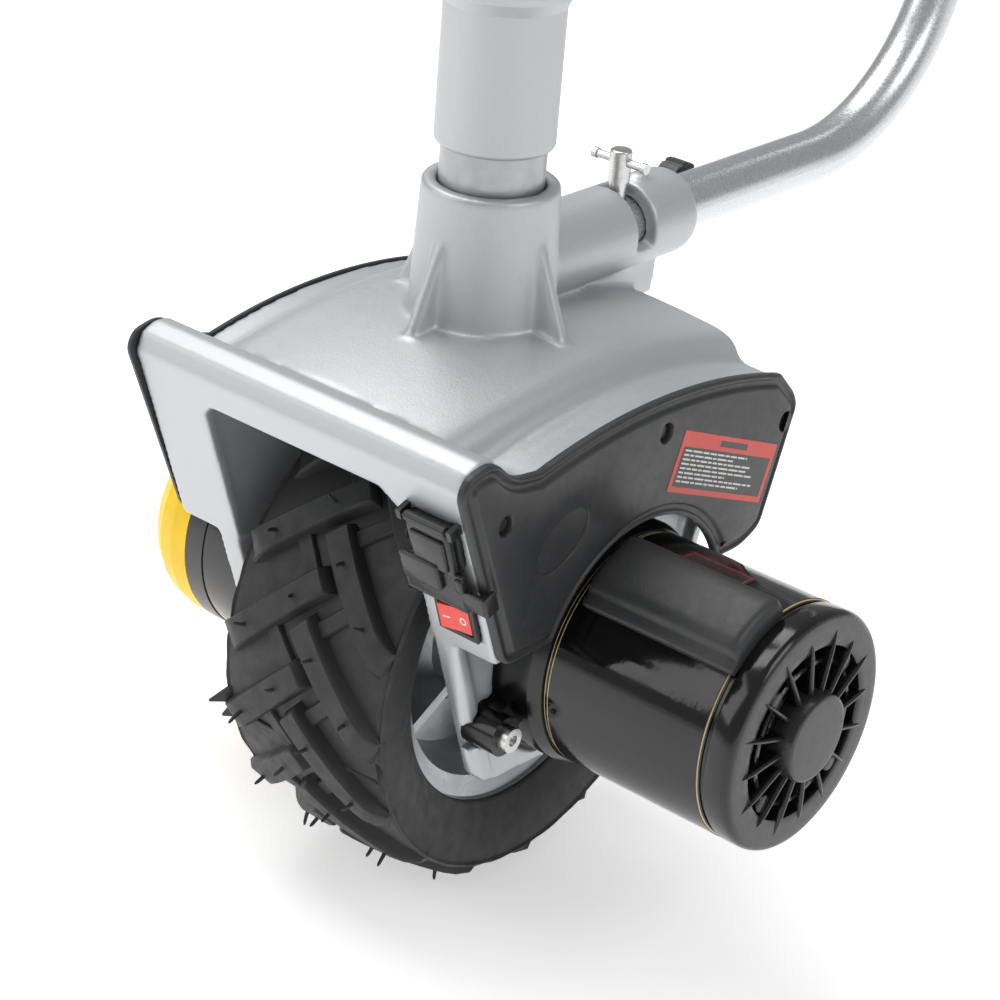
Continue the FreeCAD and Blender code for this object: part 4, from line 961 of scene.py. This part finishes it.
def make_rating_label():
    """Blank rating label on top of the can: a thin red outline on black film."""
    bm = bmesh.new()
    # (x from, x to, angle from, angle to, height over the can, material slot) of black film, red outline, black field
    spans = (
        (134.0, 173.0, 80.0, 96.5, 0.10, 0), (135.5, 171.5, 81.4, 95.1, 0.16, 1), (136.3, 170.7, 82.2, 94.3, 0.21, 0)
    )
    for x0, x1, a0, a1, lift, slot in spans:
        section = ((x0, 0.0), (x0, lift), (x1, lift), (x1, 0.0))
        rows = []
        for k in range(13):
            a = math.radians(a0 + (a1 - a0) * k / 12)
            rows.append([bm.verts.new(turn_point(x, CAN_R + h, a, MOTOR)) for x, h in section])
        join_rows(bm, rows, around=False, slot=slot)
        cap_both(bm, rows, slot)
    obj = piece("rating_label", bm, flat_color("film_black", (0.02, 0.02, 0.02), 0.3), "fork")
    obj.data.materials.append(flat_color("film_red", (0.4, 0.03, 0.03), 0.3))


make_rating_label()


# ------------------------------------------------------- floor and light


FLOOR_RADIUS_M = 30.0


def make_floor():
    """Plain pale floor at the object's lowest point at rest."""
    bm = bmesh.new()
    bmesh.ops.create_circle(bm, cap_ends=True, segments=96, radius=FLOOR_RADIUS_M)
    mesh = bpy.data.meshes.new("floor")
    bm.to_mesh(mesh)
    bm.free()
    obj = bpy.data.objects.new("floor", mesh)
    obj.location = (0.0, 0.0, CAD_BOX[0].z)
    bpy.context.scene.collection.objects.link(obj)
    s = Surface("floor", (0.9, 0.9, 0.9), 0.6)
    s.b.inputs["Emission Color"].default_value = (1.0, 1.0, 1.0, 1.0)
    s.b.inputs["Emission Strength"].default_value = 0.5
    mesh.materials.append(s.m)


LIGHT_AIM = Vector((0.0, 0.0, -0.2))


def area(name, size, power, place):
    """A square white area light, size in metres and power in watts, that aims at the fork."""
    light = bpy.data.lights.new(name, "AREA")
    light.energy = power
    light.size = size
    obj = bpy.data.objects.new(name, light)
    obj.location = place
    obj.rotation_mode = "QUATERNION"
    obj.rotation_quaternion = (LIGHT_AIM - Vector(place)).to_track_quat("-Z", "Y")
    bpy.context.scene.collection.objects.link(obj)


WORLD_AS_LIGHT, WORLD_AS_SEEN = 0.34, 0.85


def make_world():
    """Even white surroundings: dim as a light, bright where they show behind the object."""
    world = bpy.data.worlds.new("studio")
    bpy.context.scene.world = world
    world.use_nodes = True
    tree = world.node_tree
    back = tree.nodes["Background"]
    back.inputs["Color"].default_value = (1.0, 1.0, 1.0, 1.0)
    seen = tree.nodes.new("ShaderNodeLightPath")
    level = tree.nodes.new("ShaderNodeMapRange")
    level.inputs["To Min"].default_value = WORLD_AS_LIGHT
    level.inputs["To Max"].default_value = WORLD_AS_SEEN
    tree.links.new(seen.outputs["Is Camera Ray"], level.inputs["Value"])
    tree.links.new(level.outputs[0], back.inputs["Strength"])


def make_camera():
    """Camera at the height, distance and tilt that the proportions of the object call for."""
    data = bpy.data.cameras.new("camera")
    data.lens = 97.9
    data.sensor_width = 36.0
    obj = bpy.data.objects.new("camera", data)
    obj.location = (0.79928, -0.97726, 0.28855)
    obj.rotation_euler = (math.radians(63.645), math.radians(-4.416), math.radians(40.664))
    bpy.context.scene.collection.objects.link(obj)
    bpy.context.scene.camera = obj


make_floor()
make_world()
make_camera()
area("key", 2.0, 46.0, (-0.9, 0.1, 2.0))
area("front_left", 1.6, 14.0, (-1.6, -1.8, 0.9))
area("right", 1.2, 12.0, (2.0, 0.2, 1.2))
bpy.context.scene.view_settings.view_transform = "Standard"
